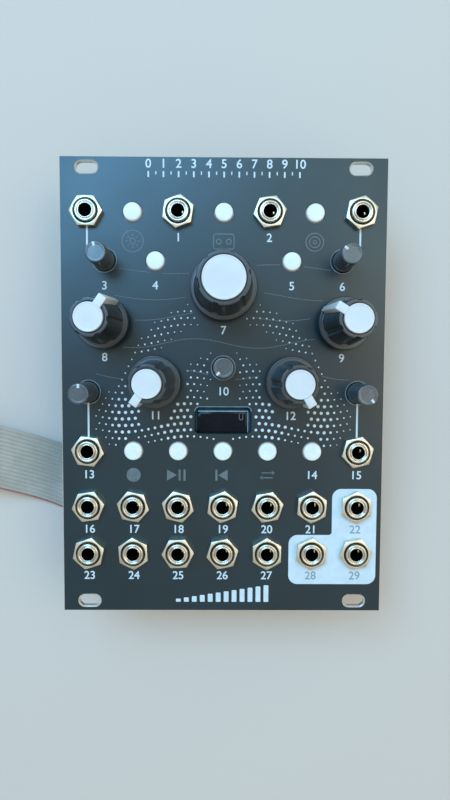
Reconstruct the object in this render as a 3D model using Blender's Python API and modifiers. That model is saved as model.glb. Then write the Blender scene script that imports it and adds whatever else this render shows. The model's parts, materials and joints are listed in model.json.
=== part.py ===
"""A eurorack sound module, 3U high and 18 HP wide, lying on its back.

Metres, +Z up. The table is z = 0 and the panel faces +Z. X runs to the panel's right and
Y towards its top edge. The origin is on the table, under the middle of the panel.
"""

import math

import bmesh
import bpy
from mathutils import Matrix, Vector

# Clearances, and how far joined shapes reach into each other
SEAT_GAP = 0.0003
HOLE_CLEARANCE = 0.00025
CUT_OVERRUN = 0.001
SUNK = 0.0002
MERGE_DISTANCE = 0.00001
SMOOTH_DEGREES = 35

# Panel
PANEL_WIDTH = 0.0913
PANEL_HEIGHT = 0.1285
PANEL_THICKNESS = 0.0020
SLOT_LENGTH = 0.0060
SLOT_WIDTH = 0.0032
SLOT_SPACING_SHARE = 0.8346
SLOT_SIDE_INSET = 0.0075
SLOT_END_INSET = 0.0030
COLUMN_SHARE = 0.1391
ROW_1_SHARE = 0.3813
ROW_2_SHARE = -0.1381
ROW_3_SHARE = -0.2607
ROW_4_SHARE = -0.3658
HOLE_SIDES = 12
ROUND_SIDES = 16

# Control board, behind the panel
BOARD_THICKNESS = 0.0016
BOARD_SIDE_MARGIN = 0.0017
BOARD_END_MARGIN = 0.0092

# Jack sockets
JACK_BODY_WIDTH = 0.0090
JACK_BODY_LENGTH = 0.0105
JACK_BODY_HEIGHT = 0.0100
JACK_BARREL_DIAMETER = 0.0060
JACK_BORE_DIAMETER = 0.0036
JACK_BORE_FLOOR = 0.0012
JACK_LIP_CHAMFER = 0.0004
JACK_LIP_PROUD = 0.0005
JACK_NUT_FLATS = 0.0080
JACK_NUT_HEIGHT = 0.0017

# Potentiometers
POT_BODY_WIDTH = 0.0095
POT_BODY_LENGTH = 0.0113
POT_BODY_HEIGHT = 0.0065
POT_BUSH_WALL = 0.00042
POT_BUSH_PROUD = 0.0009
POT_SHAFT_DIAMETER = 0.0060
POT_SHAFT_CLEARANCE = 0.00018
POT_SHAFT_DEPTH = 0.0030
POT_NUT_FLATS = 0.0100
POT_NUT_HEIGHT = 0.0020

# Knobs of broad lobes with a groove between each two, and a pointer or its empty slot in one
KNOB_HEIGHT = 0.0173
KNOB_SKIRT_HEIGHT = 0.0014
KNOB_SKIRT_CHAMFER = 0.0003
KNOB_CAP_HEIGHT = 0.0006
KNOB_RIM_HEIGHT = 0.0006
KNOB_RIM_STEP = 0.0007
KNOB_TOP_STEP = 0.0006
KNOB_TAPER = 0.0011
KNOB_SKIRT_STEP = 0.0012
KNOB_FLUTES = 6
KNOB_FLUTE_WIDTH = 0.0018
KNOB_FLUTE_DEPTH = 0.00045
KNOB_FLUTE_FLOOR_SHARE = 0.6
KNOB_LOBE_SIDES = 3
KNOB_POINTER_WIDTH = 0.0023
KNOB_POINTER_PROUD = 0.0014
KNOB_POINTER_FOOT_PROUD = 0.0001
KNOB_SLOT_WIDTH = 0.0025
SMALL_CAP_DIAMETER = 0.0074
LARGE_CAP_DIAMETER = 0.0112

# Trimmers, whose slender shafts are their own knobs
TRIMMER_PROUD = 0.0117
TRIMMER_FOOT_DIAMETER = 0.0059
TRIMMER_TAPER = 0.0003
TRIMMER_EDGE = 0.0004
TRIMMER_BODY_SIDE = 0.0068
TRIMMER_BODY_HEIGHT = 0.0050
TRIMMER_PIN_DIAMETER = 0.0028
TRIMMER_PIN_DEPTH = 0.0022
TRIMMER_PIN_CLEARANCE = 0.0002
TRIMMER_MARK_WIDTH = 0.0008
TRIMMER_MARK_LENGTH = 0.0012
TRIMMER_MARK_DEPTH = 0.0003

# Push buttons
BUTTON_CAP_DIAMETER = 0.0051
BUTTON_CAP_PROUD = 0.0012
BUTTON_CAP_EDGE = 0.0004
BUTTON_FLANGE_STEP = 0.00075
BUTTON_FLANGE_HEIGHT = 0.0008
BUTTON_STEM_DIAMETER = 0.0040
BUTTON_TRAVEL = 0.00025
BUTTON_END_CLEARANCE = 0.0001
SWITCH_BODY_SIDE = 0.0060
SWITCH_BODY_HEIGHT = 0.0036
SWITCH_PLUNGER_DIAMETER = 0.0034
SWITCH_PLUNGER_HEIGHT = 0.0010

# Display
WINDOW_WIDTH = 0.0158
WINDOW_HEIGHT = 0.0074
WINDOW_RADIUS = 0.0012
WINDOW_ROW_SHARE = -0.0693
DISPLAY_WIDTH = 0.0146
DISPLAY_THICKNESS = 0.0014
DISPLAY_TOP_INSET = 0.0012
DISPLAY_BUTTON_GAP = 0.0009
CARRIER_MARGIN = 0.0010

# Power inlet and its plug, on the rear of the board
POWER_X_SHARE = -0.2087
POWER_Y_SHARE = -0.3035
HEADER_HEIGHT = 0.0091
HEADER_END_ROOM = 0.00224
HEADER_SIDE_ROOM = 0.00071
HEADER_END_WALL = 0.0016
HEADER_SIDE_WALL = 0.0012
HEADER_FLOOR = 0.0025
HEADER_KEY_WIDTH = 0.0045
PIN_PITCH = 0.00254
PIN_SIDE = 0.00064
PIN_LENGTH = 0.0052
PIN_COLUMNS = 8
PLUG_PROUD = 0.0074
PLUG_COVER_HEIGHT = 0.0036
PLUG_SLOT_WIDTH = 0.0013

# Processor board, plugged into two socket strips on the rear of the control board
PROCESSOR_X_SHARE = 0.0876
PROCESSOR_Y_SHARE = 0.0623
PROCESSOR_LENGTH = 0.0510
PROCESSOR_WIDTH = 0.0180
PROCESSOR_THICKNESS = 0.0016
STRIP_SPACING = 0.01524
STRIP_WIDTH = 0.0025
STRIP_END_INSET = 0.0006
STRIP_PLASTIC_HEIGHT = 0.0025
CHIP_HEIGHT = 0.0025
SHIELD_WIDTH = 0.0120
SHIELD_LENGTH = 0.0200
USB_WIDTH = 0.0076
USB_LENGTH = 0.0056
USB_OVERHANG = 0.0008

# Ribbon cable, and the strap round its folded part
RIBBON_WIDTH = 0.0203
RIBBON_THICKNESS = 0.0009
RIBBON_FOLD_PITCH = 0.0073
RIBBON_RUN_LENGTH = 0.0600
RIBBON_TAIL_LENGTH = 0.0180
RIBBON_HEADING_DEGREES = 159
FOLD_STEPS = 8
TAIL_STEPS = 5
GAP_STEPS = 12
STRAP_WIDTH = 0.0100
STRAP_THICKNESS = 0.0008
STRAP_RADIUS = 0.0005

# Derived levels, from the table up
HEADER_MOUTH_Z = PLUG_PROUD
BOARD_REAR_Z = HEADER_MOUTH_Z + HEADER_HEIGHT + SEAT_GAP
BOARD_FRONT_Z = BOARD_REAR_Z + BOARD_THICKNESS
JACK_BASE_Z = BOARD_FRONT_Z + SEAT_GAP
JACK_SHOULDER_Z = JACK_BASE_Z + JACK_BODY_HEIGHT
PANEL_REAR_Z = JACK_SHOULDER_Z + SEAT_GAP
PANEL_FACE_Z = PANEL_REAR_Z + PANEL_THICKNESS
JACK_NUT_Z = PANEL_FACE_Z + SEAT_GAP
JACK_LIP_Z = JACK_NUT_Z + JACK_NUT_HEIGHT + JACK_LIP_PROUD
POT_BASE_Z = BOARD_FRONT_Z + SEAT_GAP
POT_SHOULDER_Z = POT_BASE_Z + POT_BODY_HEIGHT
POT_NUT_Z = PANEL_FACE_Z + SEAT_GAP
POT_BUSH_Z = POT_NUT_Z + POT_NUT_HEIGHT + POT_BUSH_PROUD
KNOB_BASE_Z = POT_BUSH_Z + SEAT_GAP
SHAFT_END_Z = POT_SHOULDER_Z - POT_SHAFT_DEPTH
TRIMMER_BASE_Z = BOARD_FRONT_Z + TRIMMER_BODY_HEIGHT + SEAT_GAP
TRIMMER_TIP_Z = PANEL_FACE_Z + TRIMMER_PROUD
SWITCH_TOP_Z = BOARD_FRONT_Z + SWITCH_BODY_HEIGHT + SWITCH_PLUNGER_HEIGHT
BUTTON_FLANGE_Z = PANEL_REAR_Z - SEAT_GAP
BUTTON_FOOT_Z = SWITCH_TOP_Z + BUTTON_TRAVEL + BUTTON_END_CLEARANCE
DISPLAY_FACE_Z = PANEL_REAR_Z - SEAT_GAP
PLUG_TOP_Z = HEADER_MOUTH_Z + HEADER_HEIGHT - HEADER_FLOOR - SEAT_GAP
RIBBON_EXIT_Z = PLUG_COVER_HEIGHT + RIBBON_THICKNESS / 2
LOW_RUN_Z = STRAP_THICKNESS + SEAT_GAP + RIBBON_THICKNESS / 2
TOP_RUN_Z = LOW_RUN_Z + 2 * RIBBON_FOLD_PITCH
PROCESSOR_TOP_Z = CHIP_HEIGHT + PROCESSOR_THICKNESS

# Derived sizes and places
COLUMN = COLUMN_SHARE * PANEL_WIDTH
SLOT_SPACING = SLOT_SPACING_SHARE * PANEL_WIDTH
POT_BUSH_DIAMETER = POT_SHAFT_DIAMETER + 2 * (POT_SHAFT_CLEARANCE + POT_BUSH_WALL)
TRIMMER_TIP_DIAMETER = TRIMMER_FOOT_DIAMETER - 2 * TRIMMER_TAPER
BUTTON_FLANGE_DIAMETER = BUTTON_CAP_DIAMETER + 2 * BUTTON_FLANGE_STEP
JACK_HOLE = JACK_BARREL_DIAMETER + 2 * HOLE_CLEARANCE
POT_HOLE = POT_BUSH_DIAMETER + 2 * HOLE_CLEARANCE
TRIMMER_HOLE = TRIMMER_FOOT_DIAMETER + 2 * HOLE_CLEARANCE
BUTTON_HOLE = BUTTON_CAP_DIAMETER + 2 * HOLE_CLEARANCE
WINDOW_Y = WINDOW_ROW_SHARE * PANEL_HEIGHT
DISPLAY_TOP_Y = WINDOW_Y + WINDOW_HEIGHT / 2 - DISPLAY_TOP_INSET
LOW_BUTTONS_TOP_Y = ROW_2_SHARE * PANEL_HEIGHT + BUTTON_FLANGE_DIAMETER / 2
DISPLAY_HEIGHT = DISPLAY_TOP_Y - LOW_BUTTONS_TOP_Y - DISPLAY_BUTTON_GAP
POWER_X = POWER_X_SHARE * PANEL_WIDTH
POWER_Y = POWER_Y_SHARE * PANEL_HEIGHT
CAVITY_LENGTH = PIN_COLUMNS * PIN_PITCH + 2 * HEADER_END_ROOM
CAVITY_WIDTH = 2 * PIN_PITCH + 2 * HEADER_SIDE_ROOM
HEADER_LENGTH = CAVITY_LENGTH + 2 * HEADER_END_WALL
HEADER_WIDTH = CAVITY_WIDTH + 2 * HEADER_SIDE_WALL
PLUG_LENGTH = CAVITY_LENGTH - 2 * SEAT_GAP
PLUG_WIDTH = CAVITY_WIDTH - 2 * SEAT_GAP
PROCESSOR_X = PROCESSOR_X_SHARE * PANEL_WIDTH
PROCESSOR_Y = PROCESSOR_Y_SHARE * PANEL_HEIGHT
STRIP_LENGTH = PROCESSOR_LENGTH - 2 * STRIP_END_INSET

# Where the controls are. Columns count from the middle and rows are shares of the panel's height.
# A jack has its row, its column and how far its nut is turned, in degrees anticlockwise from X.
# A knob or a trimmer ends with where it points, in degrees clockwise from the panel's top.
ROW_SHARES = {1: ROW_1_SHARE, 2: ROW_2_SHARE, 3: ROW_3_SHARE, 4: ROW_4_SHARE}
JACKS = [
    (1, -3, 0), (1, -1, 21), (1, 1, 9), (1, 3, 19),
    (2, -3, -7), (2, 3, 14),
    (3, -3, 8), (3, -2, -11), (3, -1, -14), (3, 0, 22), (3, 1, 11), (3, 2, 26), (3, 3, 28),
    (4, -3, 18), (4, -2, 34), (4, -1, 3), (4, 0, 12), (4, 1, 30), (4, 2, 25), (4, 3, 10),
]
KNOBS_AT_SHARES = [
    ("knob_large", 0, 0.2189, -102),
    ("knob_upper_left", -2.625, 0.1427, 35),
    ("knob_upper_right", 2.625, 0.1427, -58),
    ("knob_lower_left", -1.5, 0.0149, -146),
    ("knob_lower_right", 1.5, 0.0149, 149),
]
TRIMMERS_AT_SHARES = [
    ("trimmer_top_left", -2.625, 0.2790, -13),
    ("trimmer_top_right", 2.625, 0.2790, -48),
    ("trimmer_low_left", -3, -0.0083, 0),
    ("trimmer_low_right", 3, -0.0083, 139),
    ("trimmer_middle", 0, 0.0462, -138),
]
BUTTONS_AT_SHARES = [
    ("button_top_left", -2, ROW_1_SHARE),
    ("button_top_middle", 0, ROW_1_SHARE),
    ("button_top_right", 2, ROW_1_SHARE),
    ("button_upper_left", -1.5, 0.2774),
    ("button_upper_right", 1.5, 0.2774),
    ("button_low_1", -2, ROW_2_SHARE),
    ("button_low_2", -1, ROW_2_SHARE),
    ("button_low_3", 0, ROW_2_SHARE),
    ("button_low_4", 1, ROW_2_SHARE),
    ("button_low_5", 2, ROW_2_SHARE),
]

# The ribbon's route as it lies: (x, y, z) of its middle, from the plug outwards
RIBBON_LEAD_POINTS = [
    (-0.0292, -0.0390, 0.0034),
    (-0.0350, -0.0385, 0.0016),
    (-0.0415, -0.0362, 0.0007),
    (-0.0480, -0.0332, 0.0007),
    (-0.0545, -0.0303, 0.0013),
    (-0.0610, -0.0276, 0.0034),
    (-0.0675, -0.0251, 0.0063),
    (-0.0740, -0.0226, 0.0096),
    (-0.0800, -0.0203, 0.0126),
    (-0.0860, -0.0180, 0.0149),
    (-0.0920, -0.0157, 0.0160),
    (-0.0985, -0.0132, 0.01615),
]


def clear_scene():
    for obj in list(bpy.data.objects):
        bpy.data.objects.remove(obj, do_unlink=True)


def new_collection(name):
    collection = bpy.data.collections.new(name)
    bpy.context.scene.collection.children.link(collection)
    return collection


def new_material(name, color, roughness, metallic=0.0):
    material = bpy.data.materials.new(name)
    material.use_nodes = True
    shader = material.node_tree.nodes["Principled BSDF"]
    shader.inputs["Base Color"].default_value = (*color, 1.0)
    shader.inputs["Roughness"].default_value = roughness
    shader.inputs["Metallic"].default_value = metallic
    return material


def box_mesh(name, size):
    """A box about its own middle."""
    bm = bmesh.new()
    bmesh.ops.create_cube(bm, size=1)
    bmesh.ops.scale(bm, vec=size, verts=bm.verts)
    mesh = bpy.data.meshes.new(name)
    bm.to_mesh(mesh)
    bm.free()
    return mesh


def prism_mesh(name, radius, height, sides, turn=0.0):
    """An upright prism or cylinder that stands on z = 0."""
    bm = bmesh.new()
    bmesh.ops.create_cone(
        bm, cap_ends=True, segments=sides, radius1=radius, radius2=radius, depth=height
    )
    bmesh.ops.translate(bm, vec=(0, 0, height / 2), verts=bm.verts)
    bmesh.ops.rotate(bm, cent=(0, 0, 0), matrix=Matrix.Rotation(turn, 3, "Z"), verts=bm.verts)
    mesh = bpy.data.meshes.new(name)
    bm.to_mesh(mesh)
    bm.free()
    mesh.shade_smooth()
    mesh.set_sharp_from_angle(angle=math.radians(SMOOTH_DEGREES))
    return mesh


def place(name, mesh, location, material, collection):
    obj = bpy.data.objects.new(name, mesh)
    obj.location = location
    if material:
        mesh.materials.append(material)
    collection.objects.link(obj)
    return obj


def helper(name, mesh, location, collection):
    """A hidden shape that a Boolean reads."""
    obj = place(name, mesh, location, None, collection)
    obj.hide_render = True
    obj.display_type = "WIRE"
    return obj


def joined(obj, other, operation="UNION"):
    modifier = obj.modifiers.new(operation.lower(), "BOOLEAN")
    modifier.operation = operation
    modifier.object = other
    return modifier


def joined_all(obj, group, operation="UNION"):
    """One Boolean with every helper of a collection."""
    modifier = obj.modifiers.new(operation.lower(), "BOOLEAN")
    modifier.operation = operation
    modifier.operand_type = "COLLECTION"
    modifier.collection = group
    return modifier


def turned(name, profile, sides, location, material, collection):
    """A Screw about Z of (radius, height) pairs that run down the outside from the axis."""
    mesh = bpy.data.meshes.new(name)
    points = [(radius, 0, height) for radius, height in profile]
    mesh.from_pydata(points, [(i, i + 1) for i in range(len(points) - 1)], [])
    obj = place(name, mesh, location, material, collection)
    screw = obj.modifiers.new("turn", "SCREW")
    screw.steps = sides
    screw.render_steps = sides
    screw.use_merge_vertices = True
    screw.merge_threshold = MERGE_DISTANCE
    screw.use_smooth_shade = True
    return obj


def ring_points(radius, sides, centre):
    angles = [2 * math.pi * i / sides for i in range(sides)]
    return [
        (centre[0] + radius * math.cos(angle), centre[1] + radius * math.sin(angle))
        for angle in angles
    ]


def rounded_points(width, height, radius, centre, steps):
    """A rectangle's outline with round corners, each of a few steps."""
    points = []
    corners = [(1, 1, 0), (-1, 1, 90), (-1, -1, 180), (1, -1, 270)]
    for side_x, side_y, start in corners:
        middle_x = centre[0] + side_x * (width / 2 - radius)
        middle_y = centre[1] + side_y * (height / 2 - radius)
        for step in range(steps + 1):
            angle = math.radians(start + 90 * step / steps)
            points.append(
                (middle_x + radius * math.cos(angle), middle_y + radius * math.sin(angle))
            )
    return points


def at_column(column, row_share):
    return (column * COLUMN, row_share * PANEL_HEIGHT)


def slot_centres():
    left = -PANEL_WIDTH / 2 + SLOT_SIDE_INSET
    high = PANEL_HEIGHT / 2 - SLOT_END_INSET
    return [(x, y) for x in (left, left + SLOT_SPACING) for y in (-high, high)]


def panel_outlines():
    """The panel's edge and every hole in it, as closed rings of (x, y)."""
    half_x = PANEL_WIDTH / 2
    half_y = PANEL_HEIGHT / 2
    rings = [[(half_x, half_y), (-half_x, half_y), (-half_x, -half_y), (half_x, -half_y)]]
    for row, column, _ in JACKS:
        rings.append(ring_points(JACK_HOLE / 2, HOLE_SIDES, at_column(column, ROW_SHARES[row])))
    for _, column, row_share, _ in KNOBS_AT_SHARES:
        rings.append(ring_points(POT_HOLE / 2, HOLE_SIDES, at_column(column, row_share)))
    for _, column, row_share, _ in TRIMMERS_AT_SHARES:
        rings.append(ring_points(TRIMMER_HOLE / 2, ROUND_SIDES, at_column(column, row_share)))
    for _, column, row_share in BUTTONS_AT_SHARES:
        rings.append(ring_points(BUTTON_HOLE / 2, ROUND_SIDES, at_column(column, row_share)))
    for centre in slot_centres():
        rings.append(rounded_points(SLOT_LENGTH, SLOT_WIDTH, SLOT_WIDTH / 2, centre, 3))
    rings.append(rounded_points(WINDOW_WIDTH, WINDOW_HEIGHT, WINDOW_RADIUS, (0, WINDOW_Y), 3))
    return rings


def plate_curve(name, rings, thickness):
    """A flat outline with its holes, thickened to both sides of its middle plane."""
    curve = bpy.data.curves.new(name, "CURVE")
    curve.dimensions = "2D"
    curve.fill_mode = "BOTH"
    curve.extrude = thickness / 2
    for ring in rings:
        spline = curve.splines.new("POLY")
        spline.points.add(len(ring) - 1)
        for point, (x, y) in zip(spline.points, ring, strict=True):
            point.co = (x, y, 0, 1)
        spline.use_cyclic_u = True
    return curve


def make_panel(parts, material):
    curve = plate_curve("front_panel", panel_outlines(), PANEL_THICKNESS)
    middle_z = (PANEL_REAR_Z + PANEL_FACE_Z) / 2
    return place("front_panel", curve, (0, 0, middle_z), material, parts)


def make_jack(index, row, column, nut_angle, parts, helpers, material):
    """Housing on the board, threaded barrel through the panel, hex nut, and the plug's bore."""
    name = f"jack_{index:02d}"
    x, y = at_column(column, ROW_SHARES[row])
    body = place(
        name,
        box_mesh(name, (JACK_BODY_WIDTH, JACK_BODY_LENGTH, JACK_BODY_HEIGHT)),
        (x, y, (JACK_BASE_Z + JACK_SHOULDER_Z) / 2),
        material,
        parts,
    )
    outer = JACK_BARREL_DIAMETER / 2
    foot = JACK_SHOULDER_Z - SUNK
    barrel = turned(
        name + "_barrel",
        [
            (0, JACK_LIP_Z - foot),
            (outer - JACK_LIP_CHAMFER, JACK_LIP_Z - foot),
            (outer, JACK_LIP_Z - JACK_LIP_CHAMFER - foot),
            (outer, 0),
            (0, 0),
        ],
        HOLE_SIDES,
        (x, y, foot),
        None,
        helpers,
    )
    nut_radius = JACK_NUT_FLATS / math.sqrt(3)
    nut = helper(
        name + "_nut",
        prism_mesh(name + "_nut", nut_radius, JACK_NUT_HEIGHT, 6, math.radians(nut_angle - 30)),
        (x, y, JACK_NUT_Z),
        helpers,
    )
    bore_foot = JACK_BASE_Z + JACK_BORE_FLOOR
    bore_height = JACK_LIP_Z + CUT_OVERRUN - bore_foot
    bore = helper(
        name + "_bore",
        prism_mesh(name + "_bore", JACK_BORE_DIAMETER / 2, bore_height, HOLE_SIDES),
        (x, y, bore_foot),
        helpers,
    )
    barrel.hide_render = True
    barrel.display_type = "WIRE"
    joined(body, barrel)
    joined(body, nut)
    joined(body, bore, "DIFFERENCE")
    return body


def make_pot(name, column, row_share, parts, helpers, material):
    """A potentiometer's body, its bush through the panel, its nut, and the shaft's blind bore."""
    x, y = at_column(column, row_share)
    body = place(
        name,
        box_mesh(name, (POT_BODY_WIDTH, POT_BODY_LENGTH, POT_BODY_HEIGHT)),
        (x, y, (POT_BASE_Z + POT_SHOULDER_Z) / 2),
        material,
        parts,
    )
    foot = POT_SHOULDER_Z - SUNK
    bush = helper(
        name + "_bush",
        prism_mesh(name + "_bush", POT_BUSH_DIAMETER / 2, POT_BUSH_Z - foot, HOLE_SIDES),
        (x, y, foot),
        helpers,
    )
    nut = helper(
        name + "_nut",
        prism_mesh(name + "_nut", POT_NUT_FLATS / math.sqrt(3), POT_NUT_HEIGHT, 6),
        (x, y, POT_NUT_Z),
        helpers,
    )
    bore_radius = (POT_SHAFT_DIAMETER / 2 + POT_SHAFT_CLEARANCE) / math.cos(math.pi / ROUND_SIDES)
    bore_foot = SHAFT_END_Z - SEAT_GAP
    bore = helper(
        name + "_bore",
        prism_mesh(name + "_bore", bore_radius, POT_BUSH_Z + CUT_OVERRUN - bore_foot, ROUND_SIDES),
        (x, y, bore_foot),
        helpers,
    )
    joined(body, bush)
    joined(body, nut)
    joined(body, bore, "DIFFERENCE")
    return body


def flute_turns(reach):
    """Turns of one groove's and lobe's corners, from the middle of a groove to that of the next."""
    pitch = 2 * math.pi / KNOB_FLUTES
    mouth = KNOB_FLUTE_WIDTH / (2 * reach)
    floor = mouth * KNOB_FLUTE_FLOOR_SHARE
    lobe = pitch - 2 * mouth
    lobe_turns = [mouth + lobe * i / KNOB_LOBE_SIDES for i in range(KNOB_LOBE_SIDES + 1)]
    return [floor, *lobe_turns, pitch - floor]


def fluted_mesh(name, waist, top, height):
    """A tapered drum of broad lobes, with a groove along +Y and between each two lobes."""
    pitch = 2 * math.pi / KNOB_FLUTES
    corners = KNOB_LOBE_SIDES + 3
    bm = bmesh.new()
    bmesh.ops.create_cone(
        bm, cap_ends=True, segments=corners * KNOB_FLUTES, radius1=waist / 2, radius2=top / 2,
        depth=height,
    )
    bmesh.ops.translate(bm, vec=(0, 0, height / 2), verts=bm.verts)
    for vert in bm.verts:
        reach = vert.co.xy.length
        step = round(math.atan2(-vert.co.x, vert.co.y) / pitch * corners)
        flute, corner = divmod(step, corners)
        turn = flute * pitch + flute_turns(reach)[corner]
        if corner in (0, corners - 1):
            reach -= KNOB_FLUTE_DEPTH
        vert.co.xy = (-reach * math.sin(turn), reach * math.cos(turn))
    mesh = bpy.data.meshes.new(name)
    bm.to_mesh(mesh)
    bm.free()
    return mesh


def pointer_mesh(name, reach_top, reach_foot, height):
    """A fin along +Y from the knob's middle, longer at its foot than at its top."""
    bm = bmesh.new()
    bmesh.ops.create_cube(bm, size=1)
    for vert in bm.verts:
        reach = reach_top if vert.co.z > 0 else reach_foot
        vert.co.x *= KNOB_POINTER_WIDTH
        vert.co.y = reach if vert.co.y > 0 else 0
        vert.co.z = height if vert.co.z > 0 else 0
    mesh = bpy.data.meshes.new(name)
    bm.to_mesh(mesh)
    bm.free()
    return mesh


def add_pointer_slot(name, place_xy, angle, floor, body_top, helpers):
    """The upright pocket for a pointer, in a knob that has none: open at the side and the top."""
    length = KNOB_TAPER + KNOB_FLUTE_DEPTH + CUT_OVERRUN
    height = body_top - KNOB_SKIRT_HEIGHT + SUNK
    x, y = place_xy
    turn = Matrix.Rotation(-math.radians(angle), 3, "Z")
    middle = turn @ Vector((0, floor + length / 2, 0))
    slot = helper(
        name + "_slot",
        box_mesh(name + "_slot", (KNOB_SLOT_WIDTH, length, height)),
        (x + middle.x, y + middle.y, KNOB_BASE_Z + KNOB_SKIRT_HEIGHT + height / 2),
        helpers,
    )
    slot.rotation_euler = turn.to_euler()
    return slot


def make_knob(name, place_xy, angle, cap, pointed, parts, helpers, material):
    """Cap, rim, fluted body, skirt and the shaft that reaches down into its potentiometer."""
    rim = cap + 2 * KNOB_RIM_STEP
    top = rim + 2 * KNOB_TOP_STEP
    waist = top + 2 * KNOB_TAPER
    skirt = waist + 2 * KNOB_SKIRT_STEP
    x, y = place_xy
    turn = (0, 0, -math.radians(angle))
    shaft_foot = SHAFT_END_Z - KNOB_BASE_Z
    body_top = KNOB_HEIGHT - KNOB_CAP_HEIGHT - KNOB_RIM_HEIGHT
    knob = turned(
        name,
        [
            (0, KNOB_HEIGHT),
            (cap / 2, KNOB_HEIGHT),
            (cap / 2, KNOB_HEIGHT - KNOB_CAP_HEIGHT),
            (rim / 2, KNOB_HEIGHT - KNOB_CAP_HEIGHT),
            (rim / 2, KNOB_SKIRT_HEIGHT),
            (skirt / 2 - KNOB_SKIRT_CHAMFER, KNOB_SKIRT_HEIGHT),
            (skirt / 2, KNOB_SKIRT_HEIGHT - KNOB_SKIRT_CHAMFER),
            (skirt / 2, 0),
            (POT_SHAFT_DIAMETER / 2, 0),
            (POT_SHAFT_DIAMETER / 2, shaft_foot),
            (0, shaft_foot),
        ],
        ROUND_SIDES,
        (x, y, KNOB_BASE_Z),
        material,
        parts,
    )
    knob.rotation_euler = turn
    body_foot = KNOB_SKIRT_HEIGHT - SUNK
    fluted = helper(
        name + "_flutes",
        fluted_mesh(name + "_flutes", waist, top, body_top - body_foot),
        (x, y, KNOB_BASE_Z + body_foot),
        helpers,
    )
    fluted.rotation_euler = turn
    joined(knob, fluted)
    if pointed:
        foot = KNOB_SKIRT_HEIGHT / 2
        fin_height = KNOB_HEIGHT - KNOB_CAP_HEIGHT / 2 - foot
        reach_top = top / 2 + KNOB_POINTER_PROUD
        reach_foot = skirt / 2 + KNOB_POINTER_FOOT_PROUD
        fin_mesh = pointer_mesh(name + "_pointer", reach_top, reach_foot, fin_height)
        fin = helper(name + "_pointer", fin_mesh, (x, y, KNOB_BASE_Z + foot), helpers)
        fin.rotation_euler = turn
        joined(knob, fin)
    else:
        floor = top / 2 - KNOB_FLUTE_DEPTH
        slot = add_pointer_slot(name, place_xy, angle, floor, body_top, helpers)
        joined(knob, slot, "DIFFERENCE")
    return knob


def make_trimmer_knob(name, place_xy, angle, parts, helpers, material):
    """A slender tapered shaft with a pin at its foot and a short mark at its tip's edge."""
    x, y = place_xy
    top = TRIMMER_TIP_Z - TRIMMER_BASE_Z
    pin = TRIMMER_PIN_DIAMETER / 2
    knob = turned(
        name,
        [
            (0, top),
            (TRIMMER_TIP_DIAMETER / 2 - TRIMMER_EDGE, top),
            (TRIMMER_TIP_DIAMETER / 2, top - TRIMMER_EDGE),
            (TRIMMER_FOOT_DIAMETER / 2, PANEL_FACE_Z - TRIMMER_BASE_Z),
            (TRIMMER_FOOT_DIAMETER / 2, 0),
            (pin, 0),
            (pin, -TRIMMER_PIN_DEPTH),
            (0, -TRIMMER_PIN_DEPTH),
        ],
        ROUND_SIDES,
        (x, y, TRIMMER_BASE_Z),
        material,
        parts,
    )
    turn = Matrix.Rotation(-math.radians(angle), 3, "Z")
    knob.rotation_euler = turn.to_euler()
    mark_height = TRIMMER_MARK_DEPTH + CUT_OVERRUN
    mark_length = TRIMMER_MARK_LENGTH + CUT_OVERRUN
    reach = TRIMMER_TIP_DIAMETER / 2 + CUT_OVERRUN
    mark_middle = turn @ Vector((0, reach - mark_length / 2, 0))
    mark_z = TRIMMER_TIP_Z - TRIMMER_MARK_DEPTH + mark_height / 2
    mark = helper(
        name + "_mark",
        box_mesh(name + "_mark", (TRIMMER_MARK_WIDTH, mark_length, mark_height)),
        (x + mark_middle.x, y + mark_middle.y, mark_z),
        helpers,
    )
    mark.rotation_euler = turn.to_euler()
    joined(knob, mark, "DIFFERENCE")
    return knob


def make_button_cap(name, place_xy, parts, material):
    """A round cap with a flange that the panel traps, and a stem over the switch."""
    x, y = place_xy
    outer = BUTTON_CAP_DIAMETER / 2
    flange = BUTTON_FLANGE_DIAMETER / 2
    stem = BUTTON_STEM_DIAMETER / 2
    top = PANEL_FACE_Z + BUTTON_CAP_PROUD - BUTTON_FOOT_Z
    flange_top = BUTTON_FLANGE_Z - BUTTON_FOOT_Z
    flange_foot = flange_top - BUTTON_FLANGE_HEIGHT
    return turned(
        name,
        [
            (0, top),
            (outer - BUTTON_CAP_EDGE, top),
            (outer, top - BUTTON_CAP_EDGE),
            (outer, flange_top),
            (flange, flange_top),
            (flange, flange_foot),
            (stem, flange_foot),
            (stem, 0),
            (0, 0),
        ],
        ROUND_SIDES,
        (x, y, BUTTON_FOOT_Z),
        material,
        parts,
    )


def add_switch(name, place_xy, group):
    """A switch's body and its plunger, standing on the board."""
    x, y = place_xy
    body_height = SWITCH_BODY_HEIGHT + SUNK
    body = box_mesh(name, (SWITCH_BODY_SIDE, SWITCH_BODY_SIDE, body_height))
    helper(name, body, (x, y, BOARD_FRONT_Z - SUNK + body_height / 2), group)


def add_plunger(name, place_xy, group):
    x, y = place_xy
    foot = BOARD_FRONT_Z + SWITCH_BODY_HEIGHT - SUNK
    plunger = prism_mesh(name, SWITCH_PLUNGER_DIAMETER / 2, SWITCH_TOP_Z - foot, HOLE_SIDES)
    helper(name, plunger, (x, y, foot), group)


def add_trimmer_body(name, place_xy, group):
    x, y = place_xy
    height = TRIMMER_BODY_HEIGHT + SUNK
    body = box_mesh(name, (TRIMMER_BODY_SIDE, TRIMMER_BODY_SIDE, height))
    helper(name, body, (x, y, BOARD_FRONT_Z - SUNK + height / 2), group)


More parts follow.
